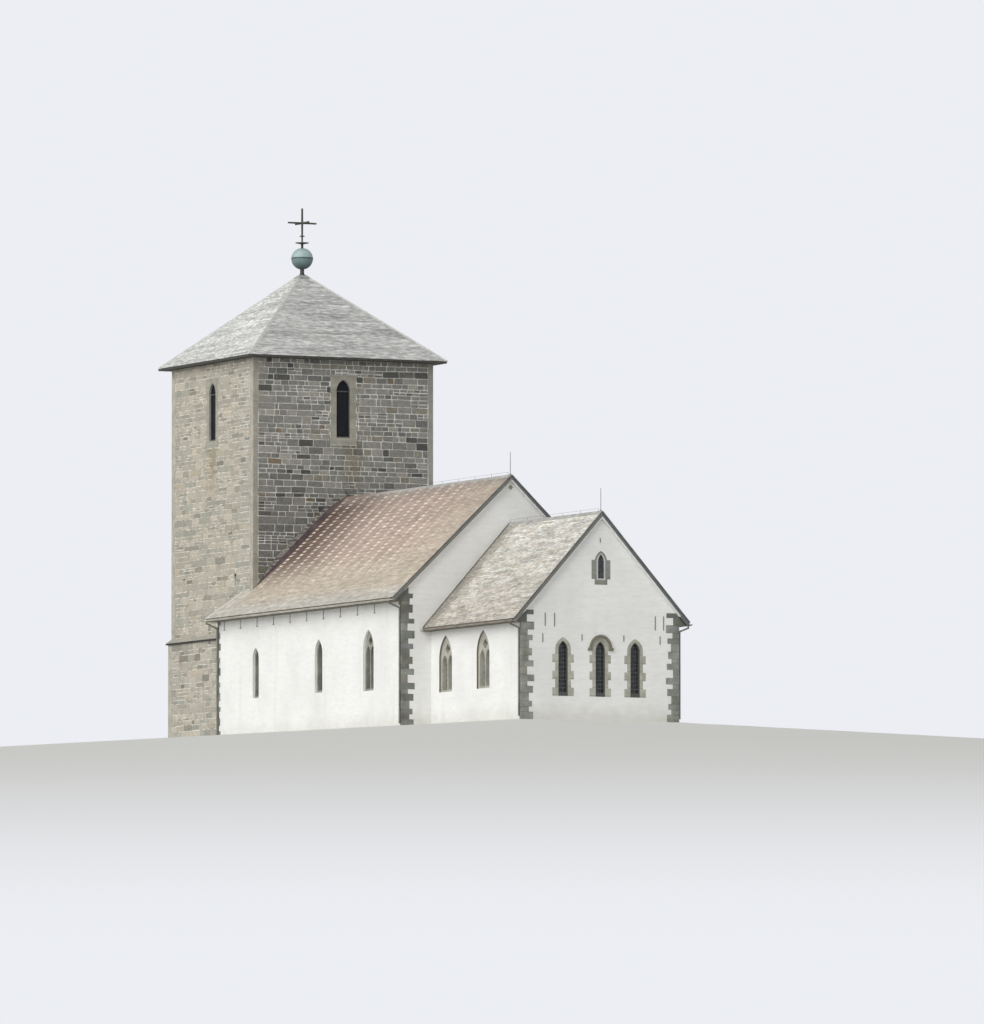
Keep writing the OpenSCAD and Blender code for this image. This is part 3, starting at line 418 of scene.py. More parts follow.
def painted_board():
    """Grey boards with a limewashed lower edge, darker and bluer on the north slopes."""
    s = Shader("painted_board", roughness=0.7)
    grain = s.noise(3, 8, (6, 1, 6))
    worn = s.rise(grain, 0.3, 0.75)
    sunny = s.mix(worn, colour(136, 136, 131), colour(112, 112, 108))
    shaded = s.mix(worn, colour(108, 112, 114), colour(84, 88, 90))
    s.base = s.mix(s.rise(s.x, -0.05, 0.05), sunny, shaded)
    s.paint(s.rise(s.noise(5, 7), 0.62, 0.72, 0.35), colour(150, 150, 144))
    across = s.away(s.x)
    between = (nave.verge + chancel.verge) / 2
    at_nave = s.rise(s.y, between, between + 0.1)
    depths = []
    for wing in (nave, chancel):
        top = s.minus(wing.ridge, s.product(across, wing.slope))
        depths.append(s.product(s.minus(top, s.z), math.cos(wing.pitch)))
    depth = s.plus(s.product(at_nave, s.minus(*depths)), depths[1])
    s.tint(s.product(s.rise(depth, 0.045, 0.06), s.fall(depth, 0.1, 0.115)), (1.3, 1.3, 1.27))
    north = s.rise(s.x, -0.05, 0.05, BOARD_SOUTH - BOARD_NORTH)
    white = s.rise(s.plus(depth, north), BOARD_SOUTH - 0.006, BOARD_SOUTH + 0.006)
    over_wall = s.math(
        "MAXIMUM", s.fall(across, chancel.half - 0.05, chancel.half),
        s.product(at_nave, s.fall(across, nave.half - 0.05, nave.half)))
    s.paint(s.product(white, over_wall), colour(226, 227, 226))
    s.finish(grain, 0.35)


def timber(name, light, dark, change=None, roughness=0.8):
    s = Shader(name, roughness)
    grain = s.noise(2.4, 8, (5, 5, 0.5), 0.4)
    s.base = s.mix(s.rise(grain, 0.3, 0.72), light, dark)
    if change:
        change(s)
    s.finish(grain)


def roof_deck(name, wing):
    """Boards under the slates, their grey partly painted shade under the eaves; limewashed where
    they stand out over the gable above the walls.
    """
    def outside_gable(s):
        outside = s.fall(s.y, wing.gable - 0.02, wing.gable)
        over_wall = s.fall(s.away(s.x), wing.half - 0.04, wing.half)
        # Near-black painted shade where the boards stand out past the gable beyond the walls
        s.paint(outside, colour(44, 44, 40))
        s.paint(s.product(outside, over_wall), colour(240, 240, 238))

    timber(name, colour(122, 119, 108), colour(100, 97, 88), outside_gable, 0.85)


def sheet_metal(name, light, dark, metallic=0.35, roughness=0.55, change=None):
    """Weathered sheet metal with run marks, or with a change in their place."""
    s = Shader(name, roughness, metallic)
    s.base = s.patches(light, dark, 2.2, 7, high=0.7)
    if change:
        change(s)
    else:
        runs = s.noise(4, 6, (1, 1, 0.2))
        s.paint(s.rise(runs, 0.5, 0.75, 0.5), scaled(dark, 0.7))
    s.finish(s.noise(5, 4), 0.2)


def browner_west(s):
    """Ridge strips, brown near the tower."""
    s.paint(s.rise(s.y, tower_east - 7, tower_east - 1), colour(136, 119, 108))


def paler_on_nave(s):
    """Gutters, browner on the chancel."""
    zinc = s.patches(colour(200, 197, 186), colour(170, 167, 156), 2.2, 7, high=0.7)
    s.paint(s.rise(s.y, nave.gable - 0.4, nave.gable - 0.3), zinc)


def stones_above(s):
    """Dark stones and mortar, painted shade, above the dark metal at the foot of the tower wall."""
    across = s.away(s.x)
    lift = s.minus(s.z, s.minus(nave.ridge, s.product(across, nave.slope)))
    wide = s.math("MINIMUM", s.levels(across, 0, 0.9, 0.1, 0.3),
                  s.levels(across, 2.5, 5, 0.3, 0.14))
    stones = s.node("TexBrick", {
        "Vector": s.node("CombineXYZ", {0: s.x, 1: s.z}).outputs[0], "Scale": 1,
        "Brick Width": 0.52, "Row Height": 0.19, "Bias": 0,
        "Mortar Size": 0.014, "Mortar Smooth": 0.2, "Mortar": colour(172, 170, 163),
        "Color1": colour(122, 119, 112), "Color2": colour(78, 77, 74),
    }).outputs["Color"]
    # Patches darker still; all of these stones are painted shade
    worn = s.rise(s.noise(6, 6), 0.36, 0.62)
    wall = s.mix(worn, stones, (0.68, 0.66, 0.64), "MULTIPLY")
    s.paint(s.rise(s.minus(lift, wide), -0.01, 0.02), wall)


def verdigris():
    """Copper turned green, dark at its seam, with painted shade on its lower half."""
    s = Shader("verdigris", roughness=0.6, metallic=0.15)
    middle = (least("finial_ball").z + most("finial_ball").z) / 2 + 0.02
    s.base = s.mix(s.fall(s.z, middle - 0.06, middle + 0.02),
                   colour(160, 180, 178), colour(112, 132, 134))
    s.paint(s.fall(s.z, middle - 0.5, middle - 0.15), colour(84, 98, 100))
    s.paint(s.rise(s.noise(3, 7), 0.4, 0.7, 0.35), colour(124, 146, 144))
    s.paint(s.fall(s.away(s.z, middle), 0.02, 0.045, 0.85), colour(52, 60, 58))
    s.finish(s.noise(9, 5), 0.25)


def iron(name, tone, rust):
    s = Shader(name, roughness=0.75, metallic=0.3)
    s.base = s.patches(tone, rust, 6, 7, 0.4, 0.7)
    s.finish(s.noise(30, 5), 0.3, 0.004)


def wall_iron():
    """Irons on the walls: limewashed over on the nave, bare on the gable."""
    s = Shader("iron_marks", roughness=0.8, metallic=0.1)
    on_nave = s.rise(s.y, nave.gable - 0.5, nave.gable - 0.4)
    s.base = s.mix(on_nave, colour(122, 120, 114), colour(148, 146, 139))
    s.paint(s.rise(s.noise(6, 7), 0.45, 0.75, 0.5), colour(120, 108, 94))
    s.finish(s.noise(30, 5), 0.3, 0.004)


def leaded_glass(name, dark, light):
    """Old glass, uneven from pane to pane."""
    s = Shader(name, roughness=0.18, specular=0.5)
    s.base = s.patches(dark, light, 5.5, 1, 0.35, 0.65)
    s.finish(s.noise(7, 2), 0.35, 0.02)


def paving():
    s = Shader("paving", roughness=0.85)
    edges = s.node("TexVoronoi", {"Vector": s.place, "Scale": 1.4}, feature="DISTANCE_TO_EDGE")
    joint = s.rise(edges.outputs["Distance"], 0.01, 0.03)
    slabs = s.patches(colour(140, 136, 126), colour(104, 102, 96), 2, 6, high=0.7)
    s.base = s.mix(joint, colour(80, 78, 72), slabs)
    s.finish(joint)


lime_render()
mortar("mortar_grey", colour(224, 224, 219), 0.62)
mortar("mortar_warm", colour(226, 221, 208), 0.8)
rubble_stone("stone_grey", 0.25, colour(142, 140, 126), 0.72, painted_shade_low=True)
rubble_stone("stone_warm", 0.2, colour(190, 184, 168), 0.74)
east_window_stone()
course_with_shaded_edge()
slate("slate_tower", 0.3, 0.25, colour(222, 220, 210), fine=1, dark=0.6, flat=6)
slate("slate_nave", 0.25, 0.2, colour(202, 188, 174), fine=0.55, dark=0.77, flat=7)
slate("slate_chancel", 0.2, 0.3, colour(224, 220, 204), fine=1.1, dark=0.64, flat=8)
painted_board()
roof_deck("nave_deck", nave)
roof_deck("chancel_deck", chancel)
verdigris()
wall_iron()
paving()

for make, name, light, dark, *rest in (
    (dressed_stone, "corner", (190, 186, 174), (166, 162, 151), corner_tones),
    (dressed_stone, "surround", (172, 169, 158), (148, 145, 135), None, 0.33),
    (dressed_stone, "quoin", (160, 162, 156), (126, 128, 122), block_tones),
    (dressed_stone, "quoin_core", (126, 128, 121), (102, 104, 98)),
    (dressed_stone, "window_stone", (160, 159, 150), (128, 128, 120), paler_chancel),
    (dressed_stone, "pale_frame", (206, 207, 206), (188, 189, 188)),
    (sheet_metal, "lead_brown", (114, 107, 100), (86, 80, 75), 0.1, 0.7),
    (sheet_metal, "verge_metal", (122, 122, 118), (96, 96, 93)),
    (sheet_metal, "flashing", (88, 73, 71), (60, 50, 51), 0.1, 0.7, stones_above),
    (sheet_metal, "gutter", (162, 154, 144), (128, 120, 112), 0.1, 0.7, paler_on_nave),
    (sheet_metal, "pipe", (138, 136, 128), (112, 110, 103), 0.1, 0.7),
    (sheet_metal, "ridge", (180, 178, 173), (156, 153, 148), 0.1, 0.65, browner_west),
    (sheet_metal, "ridge_grey", (206, 206, 202), (188, 188, 183), 0.1, 0.65),
    (sheet_metal, "cap", (174, 180, 178), (148, 155, 153), 0.2, 0.6),
    (sheet_metal, "lead", (104, 106, 106), (76, 78, 78), 0.3, 0.6),
    (iron, "iron", (80, 80, 78), (84, 74, 65)),
    (iron, "wire", (120, 120, 118), (84, 74, 65)),
    (leaded_glass, "leaded_glass", (30, 34, 38), (58, 62, 62)),
    (leaded_glass, "pale_glass", (112, 113, 108), (148, 148, 141)),
    (timber, "soffit", (84, 84, 80), (58, 58, 56)),
    (timber, "dark", (34, 34, 33), (22, 22, 22)),
    (timber, "shutter", (24, 28, 33), (13, 16, 21)),
    (timber, "shutter_frame", (104, 104, 98), (72, 72, 68)),
    (timber, "door", (92, 62, 40), (56, 38, 26)),
    (timber, "wood", (150, 118, 82), (112, 86, 58)),
):
    make(name, colour(*light), colour(*dark), *rest)

NODE_MATERIALS = {
    "mortar_grey": "tower_east_wall tower_north_wall",
    "mortar_warm": "tower_south_wall tower_west_wall",
    "course": "tower_course",
    "paving": "tower_floor nave_floor chancel_floor",
    "wood": "belfry_floor",
    "surround": "belfry_surrounds west_portal",
    "shutter": "belfry_shutters",
    "door": "west_door",
    "soffit": "tower_roof_east tower_roof_west tower_roof_south tower_roof_north",
    "iron": "finial_post finial_cross",
    "wire": "lightning_rods",
    "iron_marks": "wall_irons",
    "verdigris": "finial_ball",
    "lime_render": "nave_south_wall nave_north_wall nave_east_gable "
                   "chancel_south_wall chancel_north_wall chancel_east_gable",
    "nave_deck": "nave_roof_south nave_roof_north",
    "chancel_deck": "chancel_roof_south chancel_roof_north",
    "painted_board": "nave_bargeboards chancel_bargeboards",
    "flashing": "nave_flashing",
    "quoin_core": "nave_quoins chancel_quoins",
    "window_stone": "nave_window_stone chancel_window_stone",
    "east_stone": "east_window_stone",
    "leaded_glass": "nave_window_glass east_window_glass",
    "pale_glass": "chancel_window_glass",
    "ridge": "ridge_caps",
    "gutter": "gutters",
    "pipe": "downpipes",
}

for material_name, node_names in NODE_MATERIALS.items():
    for node_name in node_names.split():
        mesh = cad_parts[node_name].data
        mesh.materials.clear()
        mesh.materials.append(materials[material_name])


# Mesh building

WHITE = (1.0, 1.0, 1.0)


def add_object(name, data, direction=None, track="Z"):
    """A new object in the scene, its track axis turned to a direction if one is given."""
    new = bpy.data.objects.new(name, data)
    if direction is not None:
        new.rotation_mode = "QUATERNION"
        new.rotation_quaternion = Vector(direction).to_track_quat(track, "Y")
    bpy.context.scene.collection.objects.link(new)
    return new


class Surface:
    """A flat frame on the building: u to the right, v up, h out of the surface."""

    def __init__(self, origin, out, up=UP):
        self.origin = Vector(origin)
        self.out = Vector(out).normalized()
        self.up = Vector(up).normalized()
        self.right = self.up.cross(self.out)

    def at(self, u, v, h=0.0):
        return self.origin + self.right * u + self.up * v + self.out * h


def slope_normal(out, pitch):
    return out * math.sin(pitch) + UP * math.cos(pitch)


def roof_surface(foot, out, pitch):
    """A slope that faces out and up; v = 0 at its foot."""
    upward = UP * math.sin(pitch) - out * math.cos(pitch)
    return Surface(foot, slope_normal(out, pitch), upward)


def turns(count):
    """Angles evenly round a circle."""
    return [2 * math.pi * i / count for i in range(count)]


class Batch:
    """Many closed prisms joined as one mesh, with a tone for each."""

    def __init__(self):
        self.points = []
        self.faces = []
        self.tones = []

    def prism(self, low, high, tone=WHITE):
        """Two outlines of equal length, anticlockwise seen from the high one."""
        count = len(low)
        first = len(self.points)
        self.points += low + high
        self.tones += [tone] * (2 * count)
        self.faces.append([first + i for i in reversed(range(count))])
        self.faces.append([first + count + i for i in range(count)])
        for i in range(count):
            j = (i + 1) % count
            self.faces.append([first + i, first + j, first + count + j, first + count + i])

    def plate(self, surface, outline, back, front):
        """An outline of (u, v), anticlockwise, between two depths."""
        self.prism([surface.at(u, v, back) for u, v in outline],
                   [surface.at(u, v, front) for u, v in outline])

    def block(self, surface, u0, u1, v0, v1, back, front):
        self.plate(surface, [(u0, v0), (u1, v0), (u1, v1), (u0, v1)], back, front)

    def bar(self, start, end, radius, sides=6):
        """A round bar from start to end."""
        start, end = Vector(start), Vector(end)
        turn = (end - start).to_track_quat("Z", "Y")
        ring = [turn @ Vector((math.cos(a) * radius, math.sin(a) * radius, 0.0))
                for a in turns(sides)]
        self.prism([start + p for p in ring], [end + p for p in ring])

    def build(self, name, material, slot):
        mesh = bpy.data.meshes.new(name)
        mesh.from_pydata([tuple(p) for p in self.points], [], self.faces)
        tones = mesh.color_attributes.new("tone", "FLOAT_COLOR", "POINT")
        tones.data.foreach_set("color", [c for tone in self.tones for c in (*tone, 1.0)])
        mesh.materials.append(materials[material])
        mesh.update()
        piece = add_object(name, mesh)
        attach(piece, "root")


def piece(name, material, slot):
    """Makes a piece of what the function under it puts into a batch."""
    def make_piece(fill):
        batch = Batch()
        fill(batch)
        batch.build(name, material, slot)

    return make_piece


def cut_up(start, end, draw, shortest, slack=0.05):
    """Cuts a length into drawn pieces; the last takes in a rest below the shortest."""
    at = start
    while at < end - slack:
        size = draw()
        if end - at - size < shortest:
            size = end - at
        yield at, size
        at += size


# Rubble of the tower

JOINT = 0.034
STONE_OUT = 0.016
STONE_IN = 0.01
SPLIT_BAND = 0.27
LEAST_BAND = 0.18
LEAST_CELL = 0.45
LEAST_STONE = 0.2
LEAST_PART = 0.11

# Ranges of band heights, cell widths and stone lengths, length to height, and how often a
# band splits; tones with their weights; the record's slot
RUBBLES = {
    # The east and north faces' darker grey tones are partly painted shade, the south and west
    # faces' paler warm tones partly painted light
    "stone_grey": (
        ((0.22, 0.41), (0.7, 2.2), (0.36, 1.05), (1.2, 3.0), 0.3), [
            (colour(146, 145, 139), 6), (colour(156, 154, 147), 4), (colour(136, 136, 131), 4),
            (colour(120, 120, 116), 2.8), (colour(94, 94, 91), 1.0), (colour(166, 163, 154), 1.8),
            (colour(150, 145, 132), 1.0), (colour(132, 121, 102), 0.25),
        ], "tower_stone_dark"),
    "stone_warm": (
        ((0.17, 0.38), (0.8, 2.2), (0.32, 1.15), (1.6, 4.4), 0.35), [
            (colour(188, 182, 169), 5), (colour(180, 176, 164), 4), (colour(196, 189, 175), 3.5),
            (colour(172, 170, 159), 3), (colour(190, 180, 163), 1.6),
            (colour(160, 157, 146), 1.8), (colour(146, 141, 130), 0.5),
        ], "tower_stone"),
}


def rows_of(rng, band, split):
    """Heights of the rows that one cell of a band is broken into."""
    if band < SPLIT_BAND or rng.random() > split:
        return [band]
    cut = rng.uniform(0.4, 0.6)
    return [band * cut, band * (1 - cut)]


def rubble(rng, u_range, v_range, courses):
    """Rectangles of coursed rubble between four edges."""
    bands, cells, lengths, ratios, split = courses
    for v, band in cut_up(*v_range, lambda: rng.uniform(*bands), LEAST_BAND):
        for u, cell in cut_up(*u_range, lambda: rng.uniform(*cells), LEAST_CELL):
            foot = v
            for row in rows_of(rng, band, split):
                def draw():
                    return min(lengths[1], max(lengths[0], row * rng.uniform(*ratios)))

                for left, length in cut_up(u, u + cell, draw, LEAST_STONE, 0.02):
                    yield left, left + length, foot, foot + row
                foot += row


def without(rectangle, hole):
    """The parts of a rectangle that a hole leaves."""
    u0, u1, v0, v1 = rectangle
    a0, a1, b0, b1 = hole
    if u1 <= a0 or u0 >= a1 or v1 <= b0 or v0 >= b1:
        return [rectangle]
    middle = (max(u0, a0), min(u1, a1))
    parts = [(u0, min(u1, a0), v0, v1), (max(u0, a1), u1, v0, v1),
             (*middle, v0, min(v1, b0)), (*middle, max(v0, b1), v1)]
    return [p for p in parts if p[1] - p[0] > LEAST_PART and p[3] - p[2] > LEAST_PART]


def wave(u, v, seed):
    """How far the courses rise and dip."""
    return 0.035 * noise.noise(Vector((u * 0.35, v * 0.8, seed)))


def stone_block(batch, surface, rectangle, rng, tone, seed):
    """One roughly squared block with worn corners."""
    u0, u1, v0, v1 = rectangle
    gap = JOINT / 2 * rng.uniform(0.6, 1.4)
    u0, u1, v0, v1 = u0 + gap, u1 - gap, v0 + gap, v1 - gap
    cut_u = min(0.15 * (u1 - u0), rng.uniform(0.01, 0.03))
    cut_v = min(0.2 * (v1 - v0), rng.uniform(0.01, 0.025))
    outline = [
        (u0 + cut_u, v0), (u1 - cut_u, v0), (u1, v0 + cut_v), (u1, v1 - cut_v),
        (u1 - cut_u, v1), (u0 + cut_u, v1), (u0, v1 - cut_v), (u0, v0 + cut_v),
    ]
    out = STONE_OUT * rng.uniform(0.6, 1.3)
    mid_u, mid_v = (u0 + u1) / 2, (v0 + v1) / 2
    low, high = [], []
    for u, v in outline:
        u += rng.uniform(-0.01, 0.01)
        v += rng.uniform(-0.008, 0.008) + wave(u, v, seed)
        low.append(surface.at(u, v, -STONE_IN))
        inward_u = 0.008 if u < mid_u else -0.008
        inward_v = 0.007 if v < mid_v else -0.007
        high.append(surface.at(u + inward_u, v + inward_v, out))
    batch.prism(low, high, tone)


def pick_tone(rng, tones, spread=0.1):
    tone = rng.choices([t for t, _ in tones], [w for _, w in tones])[0]
    return scaled(tone, rng.uniform(1 - spread, 1 + spread))


def rubble_wall(name, surface, u_range, v_range, holes, material, seed, keep=None):
    """Faces one wall with rubble, round its holes; keep says which blocks show."""
    rng = random.Random(seed)
    batch = Batch()
    courses, tones, slot = RUBBLES[material]
    for cell in rubble(rng, u_range, v_range, courses):
        parts = [cell]
        for hole in holes:
            parts = [p for part in parts for p in without(part, hole)]
        for part in parts:
            if keep is None or keep(*part):
                stone_block(batch, surface, part, rng, pick_tone(rng, tones), seed)
    batch.build(name, material, slot)


SURROUND = (-0.72, 0.72, 15.05, 18.56)
CORNER_ALONG = 0.42
CORNER_ACROSS = 0.28
PORTAL_GAP = 0.02
stone_top = tower_eave - 0.09
tower_half_d = (tower_west - tower_east) / 2
base_half = tower_half + base_out
base_west = tower_west + base_out


def nave_top(x):
    """Height of the nave's slates at a place across it."""
    return nave.ridge - abs(x) * nave.slope


def above_strip(y, top):
    """True where a block reaches above the roof beside the tower; y is its west end."""
    strip_top = nave.eave + (nave_west - y) * nave.slope
    return y > nave_west or top > min(nave_top(tower_half), strip_top)


walls = {
    "east": Surface((0, tower_east, 0), EAST),
    "north": Surface((tower_half, tower_mid, 0), NORTH),
    "west": Surface((0, tower_west, 0), WEST),
    "south": Surface((-tower_half, tower_mid, 0), SOUTH),
}
across = (CORNER_ACROSS - tower_half, tower_half - CORNER_ACROSS)
along = (CORNER_ALONG - tower_half_d, tower_half_d - CORNER_ALONG)
whole = (course_top, stone_top)

SLIT_WIDTH = 0.11
SLIT_HEIGHT = 0.58
SLIT_EAST = 2.04
slit_u = tower_mid - tower_east - SLIT_EAST - SLIT_WIDTH
slit_foot = nave_top(tower_half) + 0.35
slit = (slit_u, slit_u + SLIT_WIDTH, slit_foot, slit_foot + SLIT_HEIGHT)

rubble_wall("rubble_east", walls["east"], across, (nave_top(tower_half) - 0.4, stone_top),
            [SURROUND], "stone_grey", 11,
            lambda u0, u1, v0, v1: v1 > nave_top(max(abs(u0), abs(u1))))
rubble_wall("rubble_north", walls["north"], along, whole, [SURROUND], "stone_grey", 12,
            lambda u0, u1, v0, v1: above_strip(tower_mid + u1, v1))
rubble_wall("rubble_west", walls["west"], across, whole, [SURROUND], "stone_warm", 13)
rubble_wall("rubble_south", walls["south"], along, whole, [SURROUND, slit], "stone_warm", 14,
            lambda u0, u1, v0, v1: above_strip(tower_mid - u0, v1))

# The thicker lowest stage; u runs east on the south wall and west on the north wall, and
# the nave covers its eastern end
lowest = (0.0, base_top)
east_edge = nave.end - tower_mid
west_edge = base_west - tower_mid - CORNER_ALONG
portal = most("west_portal")
portal_hole = (-portal.x - PORTAL_GAP, portal.x + PORTAL_GAP, 0.0, portal.z + PORTAL_GAP)
rubble_wall("base_rubble_north", Surface((base_half, tower_mid, 0), NORTH),
            (east_edge, west_edge), lowest, [], "stone_grey", 15)
rubble_wall("base_rubble_south", Surface((-base_half, tower_mid, 0), SOUTH),
            (-west_edge, -east_edge), lowest, [], "stone_warm", 16)
rubble_wall("base_rubble_west", Surface((0, base_west, 0), WEST),
            (CORNER_ACROSS - base_half, base_half - CORNER_ACROSS), lowest,
            [portal_hole], "stone_warm", 17)


@piece("slit_shade", "dark", "dark_board")
def dark_slit(batch):
    """A dark board deep in the slit and a dark block in the wider slot over it: painted shade for
    the dark inside of both.
    """
    u0, u1, v0, v1 = slit
    batch.block(walls["south"], u0, u1, v0, v1, -0.12, -0.1)
    batch.block(walls["south"], u0 - 0.07, u1 + 0.07, v1 - 0.12, v1, -0.012, 0.004)


# Dressed corners; a corner is its side, half width and y, and the way into the wall along y

BLOCK_THICK = 0.05
CHAMFER = 0.012
CORNER_OUT = 0.014
CORNER_JOINT = 0.004


def corner_block(batch, corner, reach_x, reach_y, z0, z1, out, tone):
    """An L-shaped stone round a corner."""
    side, half, y, into = corner
    plan = [
        (-out, reach_y), (-out, -out + CHAMFER), (-out + CHAMFER, -out), (reach_x, -out),
        (reach_x, BLOCK_THICK), (BLOCK_THICK, BLOCK_THICK), (BLOCK_THICK, reach_y),
    ]
    if side * into > 0:
        plan.reverse()
    low, high = ([Vector((side * (half - a), y + into * b, z)) for a, b in plan]
                 for z in (z0, z1))
    batch.prism(low, high, tone)


def tower_corner(batch, corner, z0, z1, tone, rng):
    """Long dressed stones from z0 to z1 with fine joints."""
    for z, h in cut_up(z0, z1, lambda: rng.uniform(0.32, 0.62), 0.25):
        reach = [width - rng.choice((0.0, 0.0, 0.02, 0.04))
                 for width in (CORNER_ACROSS, CORNER_ALONG)]
        corner_block(batch, corner, *reach, z + CORNER_JOINT, z + h - CORNER_JOINT, CORNER_OUT,
                     scaled(tone, rng.uniform(0.93, 1.0)))


CORNER_TONES = {-1: WHITE, 1: (0.90, 0.93, 0.97)}
corners = Batch()
corner_rng = random.Random(21)
for side, tone in CORNER_TONES.items():
    for half, y, into, z0, z1 in (
        (tower_half, tower_east, 1, nave_top(tower_half) - 0.3, stone_top),
        (tower_half, tower_west, -1, course_top, stone_top),
        (base_half, base_west, -1, 0.0, base_top),
    ):
        tower_corner(corners, (side, half, y, into), z0, z1, tone, corner_rng)
corners.build("tower_corner_stones", "corner", "dressed_stone")


# Quoins of nave and chancel: one worn block over each stone of the frame's stacks, whose
# heights and reaches vary by the same sines

QUOIN_H = 0.31
QUOIN_JITTER = 0.055
QUOIN_LONG = 0.64
QUOIN_SHORT = 0.37
QUOIN_RETURN = 0.15
QUOIN_DEPTH = 0.30
QUOIN_OUT = 0.016
QUOIN_JOINT = 0.009
QUOIN_TRIM = 0.012
LEAST_QUOIN = 0.08
QUOIN_TINTS = ((0.95, 0.95, 0.95), (0.92, 0.95, 0.9), (0.9, 0.93, 0.97), (0.97, 0.94, 0.88))


def sway(amount, degrees, i):
    return amount * math.sin(math.radians(degrees * i))


def quoin_z(i):
    return i * QUOIN_H + sway(QUOIN_JITTER, 97, i)


def quoin_stack(batch, corner, top, long, short, rng, light=1.0):
    for i in range(math.floor(top / QUOIN_H) + 1):
        z0, z1 = max(0.0, quoin_z(i)), min(top, quoin_z(i + 1))
        if z1 - z0 < LEAST_QUOIN:
            continue
        reach = (short if i % 2 else long) + sway(0.06, 137, i)
        depth = (QUOIN_DEPTH if i % 2 else QUOIN_RETURN) + sway(0.03, 101, i)
        tone = scaled(rng.choice(QUOIN_TINTS), light * rng.uniform(0.62, 1.1))
        corner_block(batch, corner, reach - QUOIN_TRIM, depth - QUOIN_TRIM,
                     z0 + QUOIN_JOINT, z1 - QUOIN_JOINT, QUOIN_OUT, tone)


nave_blocks = Batch()
chancel_blocks = Batch()
quoin_rng = random.Random(31)
gap = nave.half - tower_half
for side in SIDES:
    quoin_stack(nave_blocks, (side, nave.half, nave.gable, 1), nave.soffit,
                QUOIN_LONG, QUOIN_SHORT, quoin_rng, 0.92)
    quoin_stack(nave_blocks, (side, nave.half, nave.end, -1), nave.soffit,
                gap * 0.6, gap * 0.4, quoin_rng)
    quoin_stack(chancel_blocks, (side, chancel.half, chancel.gable, 1), chancel.soffit,
                QUOIN_LONG, QUOIN_SHORT, quoin_rng, 1.38)
nave_blocks.build("nave_quoin_blocks", "quoin", "quoin_stone")
chancel_blocks.build("chancel_quoin_blocks", "quoin", "quoin_stone")


# Slates

SLATE_GAP = 0.003
SLATE_LAP = 1.3
SLATE_RISE = 0.0125
LEAST_SLATE = 0.004


def clipped(outline, inside):
    """An outline cut by a line; inside(u, v) is positive on the side that stays."""
    kept = []
    for i, a in enumerate(outline):
        b = outline[(i + 1) % len(outline)]
        da, db = inside(*a), inside(*b)
        if da >= 0:
            kept.append(a)
        if (da >= 0) != (db >= 0):
            t = da / (da - db)
            kept.append((a[0] + (b[0] - a[0]) * t, a[1] + (b[1] - a[1]) * t))
    return kept


def area(outline):
    """Positive where the outline is anticlockwise."""
    nexts = outline[1:] + outline[:1]
    return sum(a[0] * b[1] - b[0] * a[1] for a, b in zip(outline, nexts)) / 2


def slate_plate(batch, surface, u0, u1, v0, gauge, rng, tone, cuts):
    """One slate whose head lies on the roof and whose tail lies on the course below."""
    u0, u1 = u0 + SLATE_GAP, u1 - SLATE_GAP
    thickness = rng.uniform(0.009, 0.014)
    length = gauge * SLATE_LAP
    tail = v0 - rng.uniform(0.0, 0.014)
    nip = min(0.3 * (u1 - u0), rng.uniform(0.012, 0.04))
    outline = [
        (u0 + nip, tail), (u1 - nip, tail + rng.uniform(-0.006, 0.006)),
        (u1, tail + nip * 0.7), (u1, v0 + length), (u0, v0 + length), (u0, tail + nip * 0.7),
    ]
    for cut in cuts:
        outline = clipped(outline, cut)
    if len(outline) < 3 or area(outline) < LEAST_SLATE:
        return
    rise = SLATE_RISE * SLATE_LAP
    bottoms = [max(0.0, rise * (1 - (v - v0) / length)) for _, v in outline]
    low = [surface.at(u, v, h) for (u, v), h in zip(outline, bottoms)]
    high = [surface.at(u, v, h + thickness) for (u, v), h in zip(outline, bottoms)]
    batch.prism(low, high, tone)


def streak(along, course, seed, strength):
    """A tone that changes slowly along one course and differs from course to course."""
    place = Vector((along * 0.4, course * 0.77 + 0.37, seed + 0.5))
    return 1.0 + strength * noise.noise(place)


# Tower roof

TOWER_GAUGE = 0.13
# The south slope's paler tone is partly painted light, the other slopes' darker tones partly
# painted shade
TOWER_SLATES = {
    "east": (EAST, colour(209, 209, 207)), "north": (NORTH, colour(209, 209, 208)),
    "west": (WEST, colour(212, 213, 209)), "south": (SOUTH, colour(226, 227, 223)),
}
POINT_CAP = 0.4
POINT_CAP_TOP = 0.17
HIP_CAPS = 16
HIP_CAP_REACH = 0.965
HIP_CAP_HALF = 0.1
HIP_CAP_LIFT = 0.036
tower_pitch = math.atan(TOWER_RISE / roof_half)
tower_slope_length = math.hypot(roof_half, TOWER_RISE)
tower_shrink = roof_half / tower_slope_length


def tower_surface(out):
    """One triangular slope; u = 0 on its middle line, v = 0 at the eave."""
    return roof_surface(Vector((0, tower_mid, tower_eave)) + out * roof_half, out, tower_pitch)


def tower_slates(side, out, base, seed):
    """The slates of one slope, cut at both hips."""
    rng = random.Random(seed)
    batch = Batch()
    surface = tower_surface(out)
    top = tower_slope_length - POINT_CAP + 0.06
    cuts = [
        lambda u, v: roof_half - v * tower_shrink - u,
        lambda u, v: roof_half - v * tower_shrink + u,
        lambda u, v: top - v,
    ]
    for course in range(math.ceil(top / TOWER_GAUGE)):
        v0 = course * TOWER_GAUGE
        half = roof_half - v0 * tower_shrink
        u = -half - rng.uniform(0.0, 0.3)
        while u < half:
            width = rng.uniform(0.2, 0.5)
            tone = scaled(base, streak(u, course, seed, 0.34) * rng.uniform(0.88, 1.1))
            slate_plate(batch, surface, u, u + width, v0, TOWER_GAUGE, rng, tone, cuts)
            u += width
    batch.build("tower_slates_" + side, "slate_tower", "tower_slate")


for seed, (side, (out, base)) in enumerate(TOWER_SLATES.items(), 41):
    tower_slates(side, out, base, seed)


